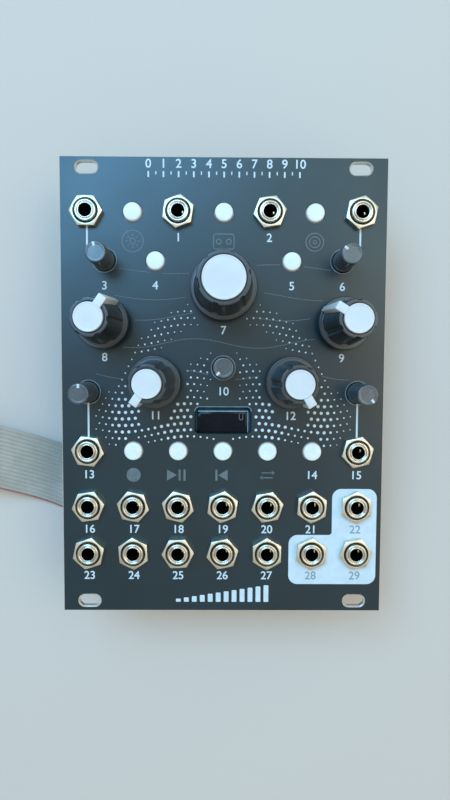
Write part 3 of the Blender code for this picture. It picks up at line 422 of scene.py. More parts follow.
def grain(material, scale, detail=3.0, stretch=(1, 1, 1), turn=0.0):
    """Noise in the piece's own metres. Returns the socket with its strength."""
    nodes = material.node_tree.nodes
    links = material.node_tree.links
    place = nodes.new("ShaderNodeTexCoord")
    mapping = nodes.new("ShaderNodeMapping")
    mapping.inputs["Scale"].default_value = stretch
    mapping.inputs["Rotation"].default_value = (0, 0, turn)
    noise = nodes.new("ShaderNodeTexNoise")
    noise.inputs["Scale"].default_value = scale
    noise.inputs["Detail"].default_value = detail
    links.new(place.outputs["Object"], mapping.inputs["Vector"])
    links.new(mapping.outputs["Vector"], noise.inputs["Vector"])
    return noise.outputs["Fac"]


def between(material, pattern, kind, taken, given, socket):
    """A new node that takes a pattern in and feeds one of the shader's sockets."""
    source = grain(material, *pattern)
    nodes = material.node_tree.nodes
    node = nodes.new(kind)
    material.node_tree.links.new(source, node.inputs[taken])
    material.node_tree.links.new(node.outputs[given], nodes["Principled BSDF"].inputs[socket])
    return node


def tint(material, pattern, dark, light):
    """Runs the base colour from dark to light with a pattern."""
    ramp = between(material, pattern, "ShaderNodeValToRGB", "Fac", "Color", "Base Color").color_ramp
    for element, position, color in zip(ramp.elements, (0.35, 0.65), (dark, light)):
        element.position = position
        element.color = (*color, 1)


def wear(material, pattern, least, most):
    """Runs the roughness between two values with a pattern."""
    spread = between(material, pattern, "ShaderNodeMapRange", "Value", "Result", "Roughness")
    for socket, value in (("From Min", 0.3), ("From Max", 0.7), ("To Min", least), ("To Max", most)):
        spread.inputs[socket].default_value = value


def relief(material, pattern, depth, strength):
    """Raises a pattern by a depth in metres."""
    bump = between(material, pattern, "ShaderNodeBump", "Height", "Normal", "Normal")
    bump.inputs["Strength"].default_value = strength
    bump.inputs["Distance"].default_value = depth


def coated(name, colors, gloss, ridges=None, metallic=0.0, **sockets):
    """A material with grain in its colour, its roughness and, where it has ridges, its relief.

    Each of the three starts with its pattern, as grain's numbers, and goes on with tint's,
    wear's or relief's.
    """
    material = surface(name, metallic=metallic, **sockets)
    tint(material, *colors)
    wear(material, *gloss)
    if ridges:
        relief(material, *ridges)
    return material


def anodised_black():
    """The panel's satin black face, with a fine tooth and faint handling marks."""
    return coated(
        "anodised_black", ([55], (0.002, 0.017, 0.023), (0.003, 0.023, 0.031)), ([38, 6], 0.27, 0.36),
        ([9000, 2], 0.000004, 0.5), Specular_IOR_Level=0.65,
    )


def machined_aluminium():
    """Bare edges of the panel, milled along their length."""
    return coated(
        "machined_aluminium", ([900], (0.86, 0.82, 0.74), (0.96, 0.93, 0.86)), ([700], 0.34, 0.50),
        ([5000, 2, (1, 1, 0.1)], 0.000006, 0.5), metallic=1.0,
    )


def nickel_nut():
    """Warm nickel plate with faint milling on its faces."""
    return coated(
        "nickel_nut", ([420], (0.77, 0.67, 0.52), (0.92, 0.83, 0.68)), ([1500], 0.34, 0.46),
        ([7000, 2, (1, 0.15, 1)], 0.000004, 0.5), metallic=1.0,
    )


def bright_nickel():
    """The turned barrels, brighter and smoother than their nuts."""
    colors = ([600], (0.74, 0.69, 0.61), (0.90, 0.85, 0.77))
    return coated("bright_nickel", colors, ([2000], 0.16, 0.28), metallic=1.0)


def thread_steel():
    """Painted shade: darker metal for the threads and the barrels' sides, and for the nuts' bores, where
    shade falls.
    """
    colors = ([900], (0.30, 0.25, 0.17), (0.46, 0.40, 0.28))
    return coated("thread_steel", colors, ([2500], 0.35, 0.50), metallic=1.0)


def contact_brass():
    colors = ([1200], (0.72, 0.48, 0.20), (0.90, 0.66, 0.34))
    return coated("contact_brass", colors, ([2500], 0.20, 0.36), metallic=1.0)


def housing_black():
    """Moulded black plastic with a fine spark texture."""
    return coated(
        "housing_black", ([260], (0.010, 0.010, 0.011), (0.022, 0.022, 0.024)), ([1800], 0.38, 0.56),
        ([6000, 3], 0.000008, 0.6),
    )


def bore_black():
    """Painted shade: near-black with no shine, for the throat of a jack, whose black inside is darkened
    further to stand for its shade, and for the shadow in the large knob's slit.
    """
    colors = ([900], (0.003, 0.003, 0.003), (0.009, 0.008, 0.007))
    return coated("bore_black", colors, ([1500], 0.75, 0.92), Specular_IOR_Level=0.0)


def knob_black():
    """The knobs' blue-black plastic: smooth, with a slight sheen on its edges."""
    return coated(
        "knob_black", ([90], (0.008, 0.012, 0.016), (0.014, 0.020, 0.026)), ([300], 0.28, 0.36),
        ([9000, 2], 0.000001, 0.4), Specular_IOR_Level=1.0,
    )


def cap_white():
    """The knobs' pressed-in discs and pointers: cool white, faintly cloudy."""
    return coated(
        "cap_white", ([150], (0.76, 0.74, 0.74), (0.81, 0.79, 0.79)), ([1300], 0.34, 0.46),
        ([6000, 2], 0.000002, 0.5), Subsurface_Weight=0.12, Subsurface_Scale=0.0008,
    )


def trimmer_plastic():
    """Grey-blue plastic of the slender shafts, with a dull turned finish."""
    return coated(
        "trimmer_plastic", ([320], (0.055, 0.064, 0.072), (0.078, 0.088, 0.097)), ([1400], 0.22, 0.32),
        ([6000, 2, (1, 1, 0.3)], 0.000003, 0.5), Specular_IOR_Level=1.0,
    )


def button_milk():
    """Milky translucent caps with a faint painted glow, as if lit from under."""
    return coated(
        "button_milk", ([240], (0.78, 0.83, 0.80), (0.86, 0.90, 0.87)), ([1500], 0.28, 0.40),
        Subsurface_Weight=0.35, Subsurface_Scale=0.0012,
        Emission_Strength=0.10, Emission_Color=(1.0, 1.0, 0.92, 1),
    )


def display_glass():
    colors = ([120], (0.006, 0.008, 0.010), (0.010, 0.013, 0.017))
    return coated("display_glass", colors, ([300], 0.05, 0.11), Specular_IOR_Level=0.16)


def display_cells():
    """The lit area behind the glass, off, with its fine lattice of cells."""
    return coated(
        "display_cells", ([200], (0.005, 0.006, 0.010), (0.009, 0.010, 0.016)), ([500], 0.14, 0.22),
        ([9000, 0, (1, 3, 1)], 0.000003, 0.4), Specular_IOR_Level=0.12,
    )


def edge_blue():
    """Painted highlight: light blue on the top edge of the display's glass and the top rim of its window,
    where light is caught.
    """
    colors = ([700], (0.22, 0.40, 0.50), (0.32, 0.52, 0.62))
    return coated("edge_blue", colors, ([1500], 0.25, 0.40), Specular_IOR_Level=0.6)


def edge_grey():
    """Dull bare metal at the upper rims of the trimmers' holes, lightened as a painted highlight, and a
    painted highlight along the right edge of the display's glass.
    """
    colors = ([900], (0.34, 0.37, 0.38), (0.48, 0.51, 0.51))
    return coated("edge_grey", colors, ([1500], 0.40, 0.55), Specular_IOR_Level=0.6)


def gasket_blue():
    """Dark blue foam between the display's glass and its window."""
    colors = ([900], (0.008, 0.045, 0.085), (0.014, 0.065, 0.115))
    return coated("gasket_blue", colors, ([1800], 0.60, 0.80), Specular_IOR_Level=0.4)


def ink_white():
    """Screen print that sits a little uneven on the panel."""
    return coated(
        "ink_white", ([500], (0.68, 0.76, 0.80), (0.75, 0.82, 0.86)), ([2500], 0.45, 0.62),
        ([9000, 2], 0.000003, 0.5),
    )


def ink_grey():
    return coated("ink_grey", ([700], (0.125, 0.150, 0.155), (0.165, 0.190, 0.195)), ([2500], 0.40, 0.55))


def ink_slate():
    """The thinner grey print on the white block."""
    return coated("ink_slate", ([700], (0.26, 0.32, 0.36), (0.34, 0.40, 0.44)), ([2500], 0.45, 0.60))


def solder_mask():
    """Black lacquer over the boards, where buried tracks show as faint ridges."""
    return coated(
        "solder_mask", ([130], (0.008, 0.012, 0.014), (0.016, 0.022, 0.026)), ([500], 0.26, 0.42),
        ([1200, 1, (1, 0.12, 1), 0.785], 0.00003, 0.5),
    )


def laminate():
    """The boards' sawn edges: pressed glass and resin in layers."""
    colors = ([3000, 3, (0.2, 0.2, 3)], (0.20, 0.17, 0.09), (0.34, 0.30, 0.18))
    return coated("laminate", colors, ([2500], 0.55, 0.75))


def tinned_metal():
    """Solder and tinned legs."""
    colors = ([1500], (0.62, 0.62, 0.61), (0.82, 0.82, 0.80))
    return coated("tinned_metal", colors, ([3000], 0.24, 0.42), metallic=1.0)


def gold_flash():
    colors = ([1500], (0.82, 0.58, 0.24), (0.95, 0.74, 0.38))
    return coated("gold_flash", colors, ([3000], 0.18, 0.30), metallic=1.0)


def can_steel():
    """Pressed steel of the potentiometers and of the shield can."""
    return coated(
        "can_steel", ([350], (0.52, 0.52, 0.51), (0.68, 0.68, 0.66)), ([1100, 4, (1, 0.2, 1)], 0.28, 0.44),
        ([4500, 2, (1, 0.1, 1)], 0.000005, 0.5), metallic=1.0,
    )


def ceramic_tan():
    return coated("ceramic_tan", ([1800], (0.30, 0.19, 0.10), (0.42, 0.29, 0.17)), ([3000], 0.40, 0.60))


def ribbon_grey():
    """Soft grey insulation, a little dusty between its ribs."""
    return coated(
        "ribbon_grey", ([160, 5], (0.46, 0.42, 0.36), (0.55, 0.50, 0.44)), ([900], 0.42, 0.58),
        ([3500, 3], 0.000008, 0.5), Specular_IOR_Level=0.4,
    )


def ribbon_red():
    """The ink stripe over the first conductor."""
    colors = ([1400, 4], (0.40, 0.13, 0.13), (0.52, 0.22, 0.21))
    return coated("ribbon_red", colors, ([1200], 0.44, 0.60), Specular_IOR_Level=0.4)


def strap_weave():
    """Black hook-and-loop tape: a low pile with a woven back."""
    return coated(
        "strap_weave", ([2600, 4], (0.010, 0.010, 0.011), (0.040, 0.040, 0.043)), ([1500], 0.80, 0.95),
        ([3000, 4], 0.00008, 0.8), Sheen_Weight=0.3, Sheen_Roughness=0.5,
    )


LOOKS = {
    make.__name__: make()
    for make in (
        anodised_black, machined_aluminium, nickel_nut, bright_nickel, thread_steel, contact_brass,
        housing_black, bore_black, knob_black, cap_white, trimmer_plastic, button_milk, display_glass,
        display_cells, edge_blue, edge_grey, gasket_blue, ink_white, ink_grey, ink_slate, solder_mask,
        laminate, tinned_metal, gold_flash, can_steel, ceramic_tan, ribbon_grey, ribbon_red, strap_weave,
    )
}


# Shapes, and the pieces that they are joined to

def moved(bm, step):
    bmesh.ops.translate(bm, vec=step, verts=bm.verts)
    return bm


def block(centre, size, edge=SOFT_EDGE, segments=2):
    """A box with softened edges."""
    bm = bmesh.new()
    bmesh.ops.create_cube(bm, size=1)
    bmesh.ops.scale(bm, vec=size, verts=bm.verts)
    if edge:
        bmesh.ops.bevel(
            bm, geom=bm.edges[:], offset=edge, segments=segments, profile=0.5,
            affect="EDGES", material=-1, clamp_overlap=True,
        )
    return moved(bm, centre)


def turned(profile, centre=(0, 0), steps=48, ring=False):
    """A spin of (radius, height) pairs about an upright axis."""
    bm = bmesh.new()
    verts = [bm.verts.new((radius, 0, height)) for radius, height in profile]
    pairs = list(zip(verts, verts[1:]))
    if ring:
        pairs.append((verts[-1], verts[0]))
    edges = [bm.edges.new(pair) for pair in pairs]
    bmesh.ops.spin(
        bm, geom=[*verts, *edges], cent=(0, 0, 0), axis=UP, angle=2 * math.pi, steps=steps,
        use_merge=True,
    )
    bmesh.ops.remove_doubles(bm, verts=bm.verts, dist=MERGE)
    bmesh.ops.recalc_face_normals(bm, faces=bm.faces)
    bmesh.ops.translate(bm, vec=(*centre, 0), verts=bm.verts)
    return bm


def rod(centre, radius, low, high, edge=0.0001, steps=24):
    """A round rod with softened ends."""
    return turned(
        [(0, high), (radius - edge, high), (radius, high - edge),
         (radius, low + edge), (radius - edge, low), (0, low)],
        centre, steps,
    )


def rotated(bm, centre, angle, axis="Z"):
    """Turns a shape about a line through a place, upright where no other axis is named."""
    bmesh.ops.rotate(bm, cent=(*centre, 0), matrix=Matrix.Rotation(angle, 3, axis), verts=bm.verts)
    return bm


def all_rotated(shapes, centre, angle):
    """Turns (shape, look) pairs about one upright line."""
    for shape, _ in shapes:
        rotated(shape, centre, angle)
    return shapes


def in_look(look, *shapes):
    return [(shape, look) for shape in shapes]


def arc(centre, radius, start, end, steps=6):
    """Points on a round corner, from one angle to another in degrees."""
    angles = [math.radians(start + (end - start) * step / steps) for step in range(steps + 1)]
    return [(centre[0] + radius * math.cos(a), centre[1] + radius * math.sin(a)) for a in angles]


def circle(radius, centre, steps=48):
    return arc(centre, radius, 0, 360, steps)[:-1]


def rounded(width, height, radius, centre, steps=6):
    """A rectangle's outline with round corners."""
    points = []
    for side_x, side_y, start in ((1, 1, 0), (-1, 1, 90), (-1, -1, 180), (1, -1, 270)):
        corner_x = centre[0] + side_x * (width / 2 - radius)
        corner_y = centre[1] + side_y * (height / 2 - radius)
        points += arc((corner_x, corner_y), radius, start, start + 90, steps)
    return points


def mesh_of(curve):
    """A curve made a shape, its own data removed."""
    holder = bpy.data.objects.new("outline", curve)
    mesh = bpy.data.meshes.new_from_object(holder)
    bm = bmesh.new()
    bm.from_mesh(mesh)
    bpy.data.objects.remove(holder)
    bpy.data.curves.remove(curve)
    bpy.data.meshes.remove(mesh)
    return bm


def flat_shape(rings):
    """The area between closed rings, filled as a flat curve and made a mesh."""
    curve = bpy.data.curves.new("outline", "CURVE")
    curve.dimensions = "2D"
    curve.fill_mode = "BOTH"
    for ring in rings:
        spline = curve.splines.new("POLY")
        spline.points.add(len(ring) - 1)
        for point, (x, y) in zip(spline.points, ring):
            point.co = (x * FILL_SCALE, y * FILL_SCALE, 0, 1)
        spline.use_cyclic_u = True
    bm = mesh_of(curve)
    bmesh.ops.scale(bm, vec=Vector((1, 1, 1)) / FILL_SCALE, verts=bm.verts)
    bmesh.ops.remove_doubles(bm, verts=bm.verts, dist=MERGE)
    bmesh.ops.beautify_fill(bm, faces=bm.faces, edges=bm.edges, use_restrict_tag=False, method="ANGLE")
    return bm


def place_key(vert):
    return (round(vert.co.x, 7), round(vert.co.y, 7))


def rim_ways(bm):
    """For each place on the rim, the step square out of the flat shape."""
    square_to = {}
    for edge in bm.edges:
        if not edge.is_boundary:
            continue
        start = edge.verts[0].co
        square = (edge.verts[1].co - start).normalized().cross(UP)
        if square.dot(edge.link_faces[0].calc_center_median() - start) > 0:
            square.negate()
        for vert in edge.verts:
            square_to.setdefault(place_key(vert), []).append(square)
    return {key: (a + b) / (1 + a.dot(b)) for key, (a, b) in square_to.items()}


def grown_rim(bm, rim, places):
    """Extrudes the rim in place. Returns the new rim and where each of its vertices began."""
    grown = bmesh.ops.extrude_edge_only(bm, edges=rim)["geom"]
    rim = [g for g in grown if isinstance(g, bmesh.types.BMEdge) and g.is_boundary]
    fresh = {}
    for vert in {v for e in rim for v in e.verts}:
        for other in (e.other_vert(vert) for e in vert.link_edges):
            if other in places and (other.co - vert.co).length < MERGE:
                fresh[vert] = places[other]
    return rim, fresh


def drawn_in(ring, size_at, way):
    """A ring drawn in, or out where way is -1, by the size wanted at each of its points."""
    points = [Vector(point) for point in ring]
    after = points[1:] + points[:1]
    turn = way if sum(a.cross(b) for a, b in zip(points, after)) > 0 else -way
    before = points[-1:] + points[:-1]
    found = []
    for last, here, following in zip(before, points, after):
        a = (here - last).normalized().orthogonal() * turn
        b = (following - here).normalized().orthogonal() * turn
        found.append(tuple(here + (a + b) / (1 + a.dot(b)) * size_at(here)))
    return found


def plate(rings, low, high, edge=0.0, edge_at=None):
    """A flat plate, its outline first and then its holes, whose rims are bevelled on both faces."""
    size_at = edge_at or (lambda place: edge)
    if edge:
        outer, *holes = rings
        rings = [drawn_in(outer, size_at, 1), *(drawn_in(hole, size_at, -1) for hole in holes)]
    bm = flat_shape(rings)
    half = (high - low) / 2
    ways = rim_ways(bm)
    rim = [e for e in bm.edges if e.is_boundary]
    for vert in bm.verts:
        vert.co.z = half
    places = {vert: place_key(vert) for e in rim for vert in e.verts}
    if edge:
        rim, places = grown_rim(bm, rim, places)
        for vert, key in places.items():
            size = size_at(key)
            vert.co += ways[key] * size
            vert.co.z = half - size
    rim, places = grown_rim(bm, rim, places)
    for vert in places:
        vert.co.z = 0
    bmesh.ops.mirror(
        bm, geom=[*bm.verts, *bm.edges, *bm.faces], matrix=Matrix.Identity(4),
        merge_dist=MERGE, axis="Z",
    )
    bmesh.ops.recalc_face_normals(bm, faces=bm.faces)
    bmesh.ops.translate(bm, vec=(0, 0, (low + high) / 2), verts=bm.verts)
    return bm


def hex_nut(centre, low, height, flats, bore, turn_degrees):
    """A nut with corners cut back by a cone and a countersunk bore."""
    across = flats / 2
    high = low + height
    face = across * 0.965
    mouth = bore + NUT_SUNK
    bm = turned(
        [(bore, low), (flats, low), (flats, high), (face, high), (mouth, high),
         (mouth - NUT_SUNK * 0.15, high - NUT_SUNK * 0.2), (bore, high - NUT_SUNK * 1.4)],
        steps=72, ring=True,
    )
    for vert in bm.verts:
        if Vector(vert.co.xy).length > across * 1.5:
            angle = math.atan2(vert.co.y, vert.co.x)
            from_flat = (angle % (math.pi / 3)) - math.pi / 6
            reach = across / math.cos(from_flat)
            vert.co.xy = (reach * math.cos(angle), reach * math.sin(angle))
            if vert.co.z > low + MERGE:
                vert.co.z = high - (reach - face) * NUT_CHAMFER_SLOPE
    rotated(bm, (0, 0), math.radians(turn_degrees))
    bmesh.ops.translate(bm, vec=(*centre, 0), verts=bm.verts)
    return bm


def piece(name, shapes, body=BODY, nodes=(), smooth=SMOOTH_DEGREES):
    """Joins (shape, look) pairs into one piece that rides on a body.

    A look is a material's name, or several of them in the order of the shape's own slots.
    """
    pairs = [(shape, [look] if isinstance(look, str) else look) for shape, look in shapes]
    looks = list(dict.fromkeys(look for _, own in pairs for look in own))
    whole = bmesh.new()
    for shape, own in pairs:
        for face in shape.faces:
            face.material_index = looks.index(own[face.material_index])
        part = bpy.data.meshes.new("part")
        shape.to_mesh(part)
        shape.free()
        whole.from_mesh(part)
        bpy.data.meshes.remove(part)
    mesh = bpy.data.meshes.new(name)
    whole.to_mesh(mesh)
    whole.free()
    for look in looks:
        mesh.materials.append(LOOKS[look])
    mesh.shade_smooth()
    mesh.set_sharp_from_angle(angle=math.radians(smooth))
    obj = bpy.data.objects.new(name, mesh)
    bpy.context.scene.collection.objects.link(obj)
    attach(obj, body)
    if nodes:
        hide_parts(*nodes)
    return obj


# Camera, light and floor

def make_camera():
    """Stands close over the panel, a little above its middle, as the photograph was taken."""
    data = bpy.data.cameras.new("camera")
    data.lens = CAMERA_LENS
    data.sensor_width = 36
    data.clip_start = 0.01
    camera = bpy.data.objects.new("camera", data)
    camera.location = CAMERA_PLACE
    camera.rotation_euler = CAMERA_TURN
    bpy.context.scene.collection.objects.link(camera)
    bpy.context.scene.camera = camera


def add_softbox(name, location, size, power, color):
    """A square area lamp that faces the panel's middle."""
    data = bpy.data.lights.new(name, "AREA")
    data.shape = "SQUARE"
    data.size = size
    data.energy = power
    data.color = color
    lamp = bpy.data.objects.new(name, data)
    lamp.location = location
    lamp.rotation_euler = Vector(location).to_track_quat("Z", "Y").to_euler()
    bpy.context.scene.collection.objects.link(lamp)


def make_light():
    """A cool window from the upper left over soft studio light from all round."""
    world = bpy.data.worlds.new("studio")
    world.use_nodes = True
    background = world.node_tree.nodes["Background"]
    background.inputs["Color"].default_value = STUDIO_COLOR
    background.inputs["Strength"].default_value = STUDIO_STRENGTH
    bpy.context.scene.world = world
    for lamp in LAMPS:
        add_softbox(*lamp)


def make_floor():
    material = surface("pale_floor", 0.85)
    tint(material, [2500, 5], (0.76, 0.640, 0.560), (0.78, 0.660, 0.580))
    bm = bmesh.new()
    bmesh.ops.create_grid(bm, x_segments=4, y_segments=4, size=2.0)
    mesh = bpy.data.meshes.new("floor")
    bm.to_mesh(mesh)
    bm.free()
    mesh.materials.append(material)
    floor = bpy.data.objects.new("floor", mesh)
    bpy.context.scene.collection.objects.link(floor)


# Ribbon

def smooth_through(points, steps):
    """Points on a smooth curve through the given ones."""
    line = [Vector(p) for p in points]
    line = [2 * line[0] - line[1], *line, 2 * line[-1] - line[-2]]
    found = []
    for a, b, c, d in zip(line, line[1:], line[2:], line[3:]):
        for step in range(steps):
            t = step / steps
            square = t * t
            pull = 2 * a - 5 * b + 4 * c - d
            bend = 3 * b - a - 3 * c + d
            found.append((2 * b + (c - a) * t + pull * square + bend * square * t) / 2)
    found.append(line[-2])
    return found


def half_turn(end, heading, steps):
    """Points round a fold, from the run above down to the run below."""
    radius = FOLD_PITCH / 2
    points = []
    for step in range(steps + 1):
        angle = math.pi * step / steps
        drop = Vector((0, 0, radius * (1 - math.cos(angle))))
        points.append(end + heading * radius * math.sin(angle) - drop)
    return points


def straight(start, end, steps):
    return [start.lerp(end, step / steps) for step in range(1, steps)]


def ribbon_line():
    """The whole middle line: the lead, three runs one over the other, and the tail."""
    lead = smooth_through([RIBBON_START, *RIBBON_LEAD_POINTS], LEAD_STEPS)
    near = lead[-1] + HEADING * (SEAT_GAP + FOLD_PITCH)
    near.z = TOP_RUN_Z
    run = HEADING * RUN_LENGTH
    drop = Vector((0, 0, FOLD_PITCH))
    far = near + run
    low = near - 2 * drop
    line = [*lead, *straight(lead[-1], near, 6), near, *straight(near, far, RUN_STEPS)]
    line += half_turn(far, HEADING, FOLD_STEPS)
    line += straight(far - drop, near - drop, RUN_STEPS)
    line += half_turn(near - drop, -HEADING, FOLD_STEPS)
    line += straight(low, low + run, RUN_STEPS)
    for step in range(TAIL_STEPS + 1):
        share = step / TAIL_STEPS
        rise = (RIBBON_START[2] - LOW_RUN_Z) * (1 - math.cos(math.pi * share)) / 2
        line.append(low + run + HEADING * TAIL_LENGTH * share + Vector((0, 0, rise)))
    return line, len(lead)


def ribbon_acrosses(line, lead_count):
    """Level directions across the ribbon: square to the lead in plan, then along the folds' width."""
    found = []
    for i in range(len(line)):
        if i >= lead_count - 1:
            found.append(FOLD_ACROSS)
            continue
        ahead = line[i + 1] - line[max(i - 1, 0)]
        found.append(Vector((ahead.y, -ahead.x, 0)).normalized())
    found[0] = Vector((0, 1, 0))
    return found


def ribbon_section():
    """Places round the ribbon's section, as (across, height), with a rib for each conductor."""
    top = []
    for rib in range(CONDUCTORS):
        for step in range(RIB_STEPS):
            across = -RIBBON_WIDTH / 2 + (rib + step / RIB_STEPS) * CONDUCTOR_PITCH
            swell = math.sin(math.pi * step / RIB_STEPS)
            top.append((across, RIBBON_WEB / 2 + (RIBBON_THICKNESS - RIBBON_WEB) / 2 * swell))
    top.append((RIBBON_WIDTH / 2, RIBBON_WEB / 2))
    return top + [(across, -height) for across, height in reversed(top)]


def ribbon_shape(line, acrosses):
    """Sweeps the ribbed section along the line."""
    bm = bmesh.new()
    section = ribbon_section()
    rings = []
    for i, (centre, across) in enumerate(zip(line, acrosses)):
        ahead = (line[min(i + 1, len(line) - 1)] - line[max(i - 1, 0)]).normalized()
        square = ahead.cross(across).normalized()
        rings.append([bm.verts.new(centre + across * side + square * high) for side, high in section])
    loops = []
    for ring in rings:
        loops.append([bm.edges.new(pair) for pair in zip(ring, ring[1:] + ring[:1])])
    for first, second in zip(loops, loops[1:]):
        bmesh.ops.bridge_loops(bm, edges=[*first, *second])
    for loop in (loops[0], loops[-1]):
        bmesh.ops.contextual_create(bm, geom=loop)
    bmesh.ops.recalc_face_normals(bm, faces=bm.faces)
    return bm


def red_faces(bm, line, acrosses):
    """Marks the faces of the first conductor, at the ribbon's lower edge in the photograph."""
    limit = RIBBON_WIDTH / 2 - CONDUCTOR_PITCH * RED_SHARE
    bm.verts.index_update()
    count = 2 * (CONDUCTORS * RIB_STEPS + 1)
    for face in bm.faces:
        if len(face.verts) > 4:
            continue
        index = min(vert.index for vert in face.verts) // count
        centre = face.calc_center_median() - line[index]
        if centre.dot(acrosses[index]) * RED_SIDE > limit:
            face.material_index = 1


def plug_shapes(centre, angle):
    """A ribbon's plug, socket side up: body, clamp cover with its hooks, and the ribbon's end in it."""
    x, y = centre
    seat = COVER_HEIGHT + RIBBON_THICKNESS
    size = (PLUG_WIDTH, PLUG_LENGTH, PLUG_TOP_Z - seat)
    hook_reach = (PLUG_LENGTH - HOOK_SIZE[1]) / 2
    shapes = in_look(
        "housing_black",
        block((x, y, (seat + PLUG_TOP_Z) / 2), size, WIDE_EDGE),
        block((x, y, COVER_HEIGHT / 2), (PLUG_WIDTH, PLUG_LENGTH, COVER_HEIGHT), BROAD_EDGE, 3),
        *(block((x, y + side * hook_reach, seat), HOOK_SIZE, FIRM_EDGE) for side in SIDES),
    )
    size = (PLUG_WIDTH - 0.0001, CONDUCTOR_PITCH * 0.98, RIBBON_THICKNESS)
    for rib in even(CONDUCTORS, CONDUCTOR_PITCH):
        place = (x, y + rib, COVER_HEIGHT + RIBBON_THICKNESS / 2)
        shapes.append((block(place, size, WIDE_EDGE), "ribbon_grey"))
    return all_rotated(shapes, centre, angle)


def plug_mouths(centre, angle):
    """The dark mouths of the contacts, each with its spring's edge just inside."""
    shapes = []
    for along in even(PIN_COLUMNS, PIN_PITCH):
        for across in even(2, PIN_PITCH):
            mouth = (centre[0] + across, centre[1] + along)
            rings = [
                rounded(MOUTH_SIDE, MOUTH_SIDE, 0.0003, mouth, 3),
                rounded(MOUTH_BORE, MOUTH_BORE, 0.0001, mouth, 2),
            ]
            spring = block((*mouth, PLUG_TOP_Z - 0.0003), MOUTH_SPRING_SIZE, SMALL_EDGE)
            shapes.append((plate(rings, PLUG_TOP_Z - MOUTH_DEPTH, PLUG_TOP_Z), "housing_black"))
            shapes.append((spring, "gold_flash"))
    return all_rotated(shapes, centre, angle)


def make_plugs(line):
    far = line[-1] + HEADING * (SEAT_GAP + PLUG_WIDTH / 2)
    plugs = []
    for name, centre, angle in (
        ("power_plug", middle("power_plug"), 0.0),
        ("far_plug", (far.x, far.y), HEADING_ANGLE),
    ):
        shapes = plug_shapes(centre, angle) + plug_mouths(centre, angle)
        plugs.append(piece(f"{name}_socket", shapes, nodes=(name,)))
    return plugs


def make_strap():
    """A hook-and-loop band round the folded runs, with its loose end lapped on top."""
    centre = middle("ribbon_strap")
    high = BOXES["ribbon_strap"][1].z
    inner_width = RIBBON_WIDTH + 2 * SEAT_GAP
    outer = rounded(inner_width + 2 * STRAP_THICKNESS, high, 0.0013, ORIGIN)
    inner = rounded(inner_width, high - 2 * STRAP_THICKNESS, 0.0005, ORIGIN)
    band = plate([outer, inner], -STRAP_WIDTH / 2, STRAP_WIDTH / 2, FIRM_EDGE)
    rotated(band, ORIGIN, QUARTER, "X")
    rotated(band, ORIGIN, HEADING_ANGLE + QUARTER)
    moved(band, (*centre, high / 2))
    lap = block(
        (0, -inner_width * 0.12, high + STRAP_THICKNESS / 2),
        (STRAP_WIDTH * 0.96, inner_width * 0.62, STRAP_THICKNESS), WIDE_EDGE, 3,
    )
    rotated(lap, ORIGIN, HEADING_ANGLE)
    moved(lap, (*centre, 0))
    return piece("ribbon_tie", in_look("strap_weave", band, lap), nodes=("ribbon_strap",))


def lay_ribbon():
    """The grey ribbon with its red first conductor, and what is on it."""
    line, lead_count = ribbon_line()
    acrosses = ribbon_acrosses(line, lead_count)
    bm = ribbon_shape(line, acrosses)
    red_faces(bm, line, acrosses)
    ribbon = piece(
        "ribbon_cable", [(bm, ["ribbon_grey", "ribbon_red"])],
        nodes=("ribbon_lead", "ribbon_folds"), smooth=60,
    )
    plugs = make_plugs(line)
    strap = make_strap()


# Panel and print

def axis_of(name):
    """Where a control's axis meets the panel."""
    joint = JOINTS.get(name)
    if joint and "pos_m" in joint:
        return tuple(joint["pos_m"][:2])
    return middle(name)


def pointing(name):
    """Where a knob points, in degrees clockwise from the panel's top: its range is even about the top."""
    low, high = JOINTS[name]["range_deg"]
    return -(low + high) / 2


def slot_centres():
    left = PANEL_LOW.x + SLOT_SIDE_INSET
    high = PANEL_HIGH.y - SLOT_END_INSET
    return [(x, y) for x in (left, left + SLOT_SPACING) for y in (-high, high)]


def panel_rings():
    """The panel's outline, then its controls' holes, its slots and its window."""
    low, high = PANEL_LOW, PANEL_HIGH
    rings = [[(high.x, high.y), (low.x, high.y), (low.x, low.y), (high.x, low.y)]]
    for names, radius in (
        (JACKS, BARREL_RADIUS), (KNOBS, POT_BUSH_RADIUS),
        (TRIMMERS, TRIMMER_FOOT_RADIUS), (BUTTONS, BUTTON_RADIUS),
    ):
        rings += [circle(radius + HOLE_CLEARANCE, axis_of(name)) for name in names]
    rings += [rounded(SLOT_LENGTH, SLOT_WIDTH, SLOT_WIDTH / 2, centre, 10) for centre in slot_centres()]
    rings.append(rounded(WINDOW_WIDTH, WINDOW_HEIGHT, WINDOW_RADIUS, (0, WINDOW_Y), 8))
    return rings


def is_near(place, centres, reach):
    return any(math.dist(place[:2], centre) < reach for centre in centres)


def by_window(place):
    return abs(place[0]) < WINDOW_WIDTH and abs(place[1] - WINDOW_Y) < WINDOW_HEIGHT


def rim_size(place):
    """How wide a rim's bevel is: broad at the slots and the trimmers' holes, fine elsewhere."""
    if is_near(place, slot_centres(), SLOT_LENGTH):
        return SLOT_EDGE
    if is_near(place, map(axis_of, BUTTONS), BUTTON_FLANGE_RADIUS):
        return BUTTON_HOLE_EDGE
    if is_near(place, map(axis_of, TRIMMERS), TRIMMER_BODY_SIDE / 2 + SLOT_EDGE):
        return TRIMMER_HOLE_EDGE
    return WINDOW_EDGE if by_window(place) else PANEL_EDGE


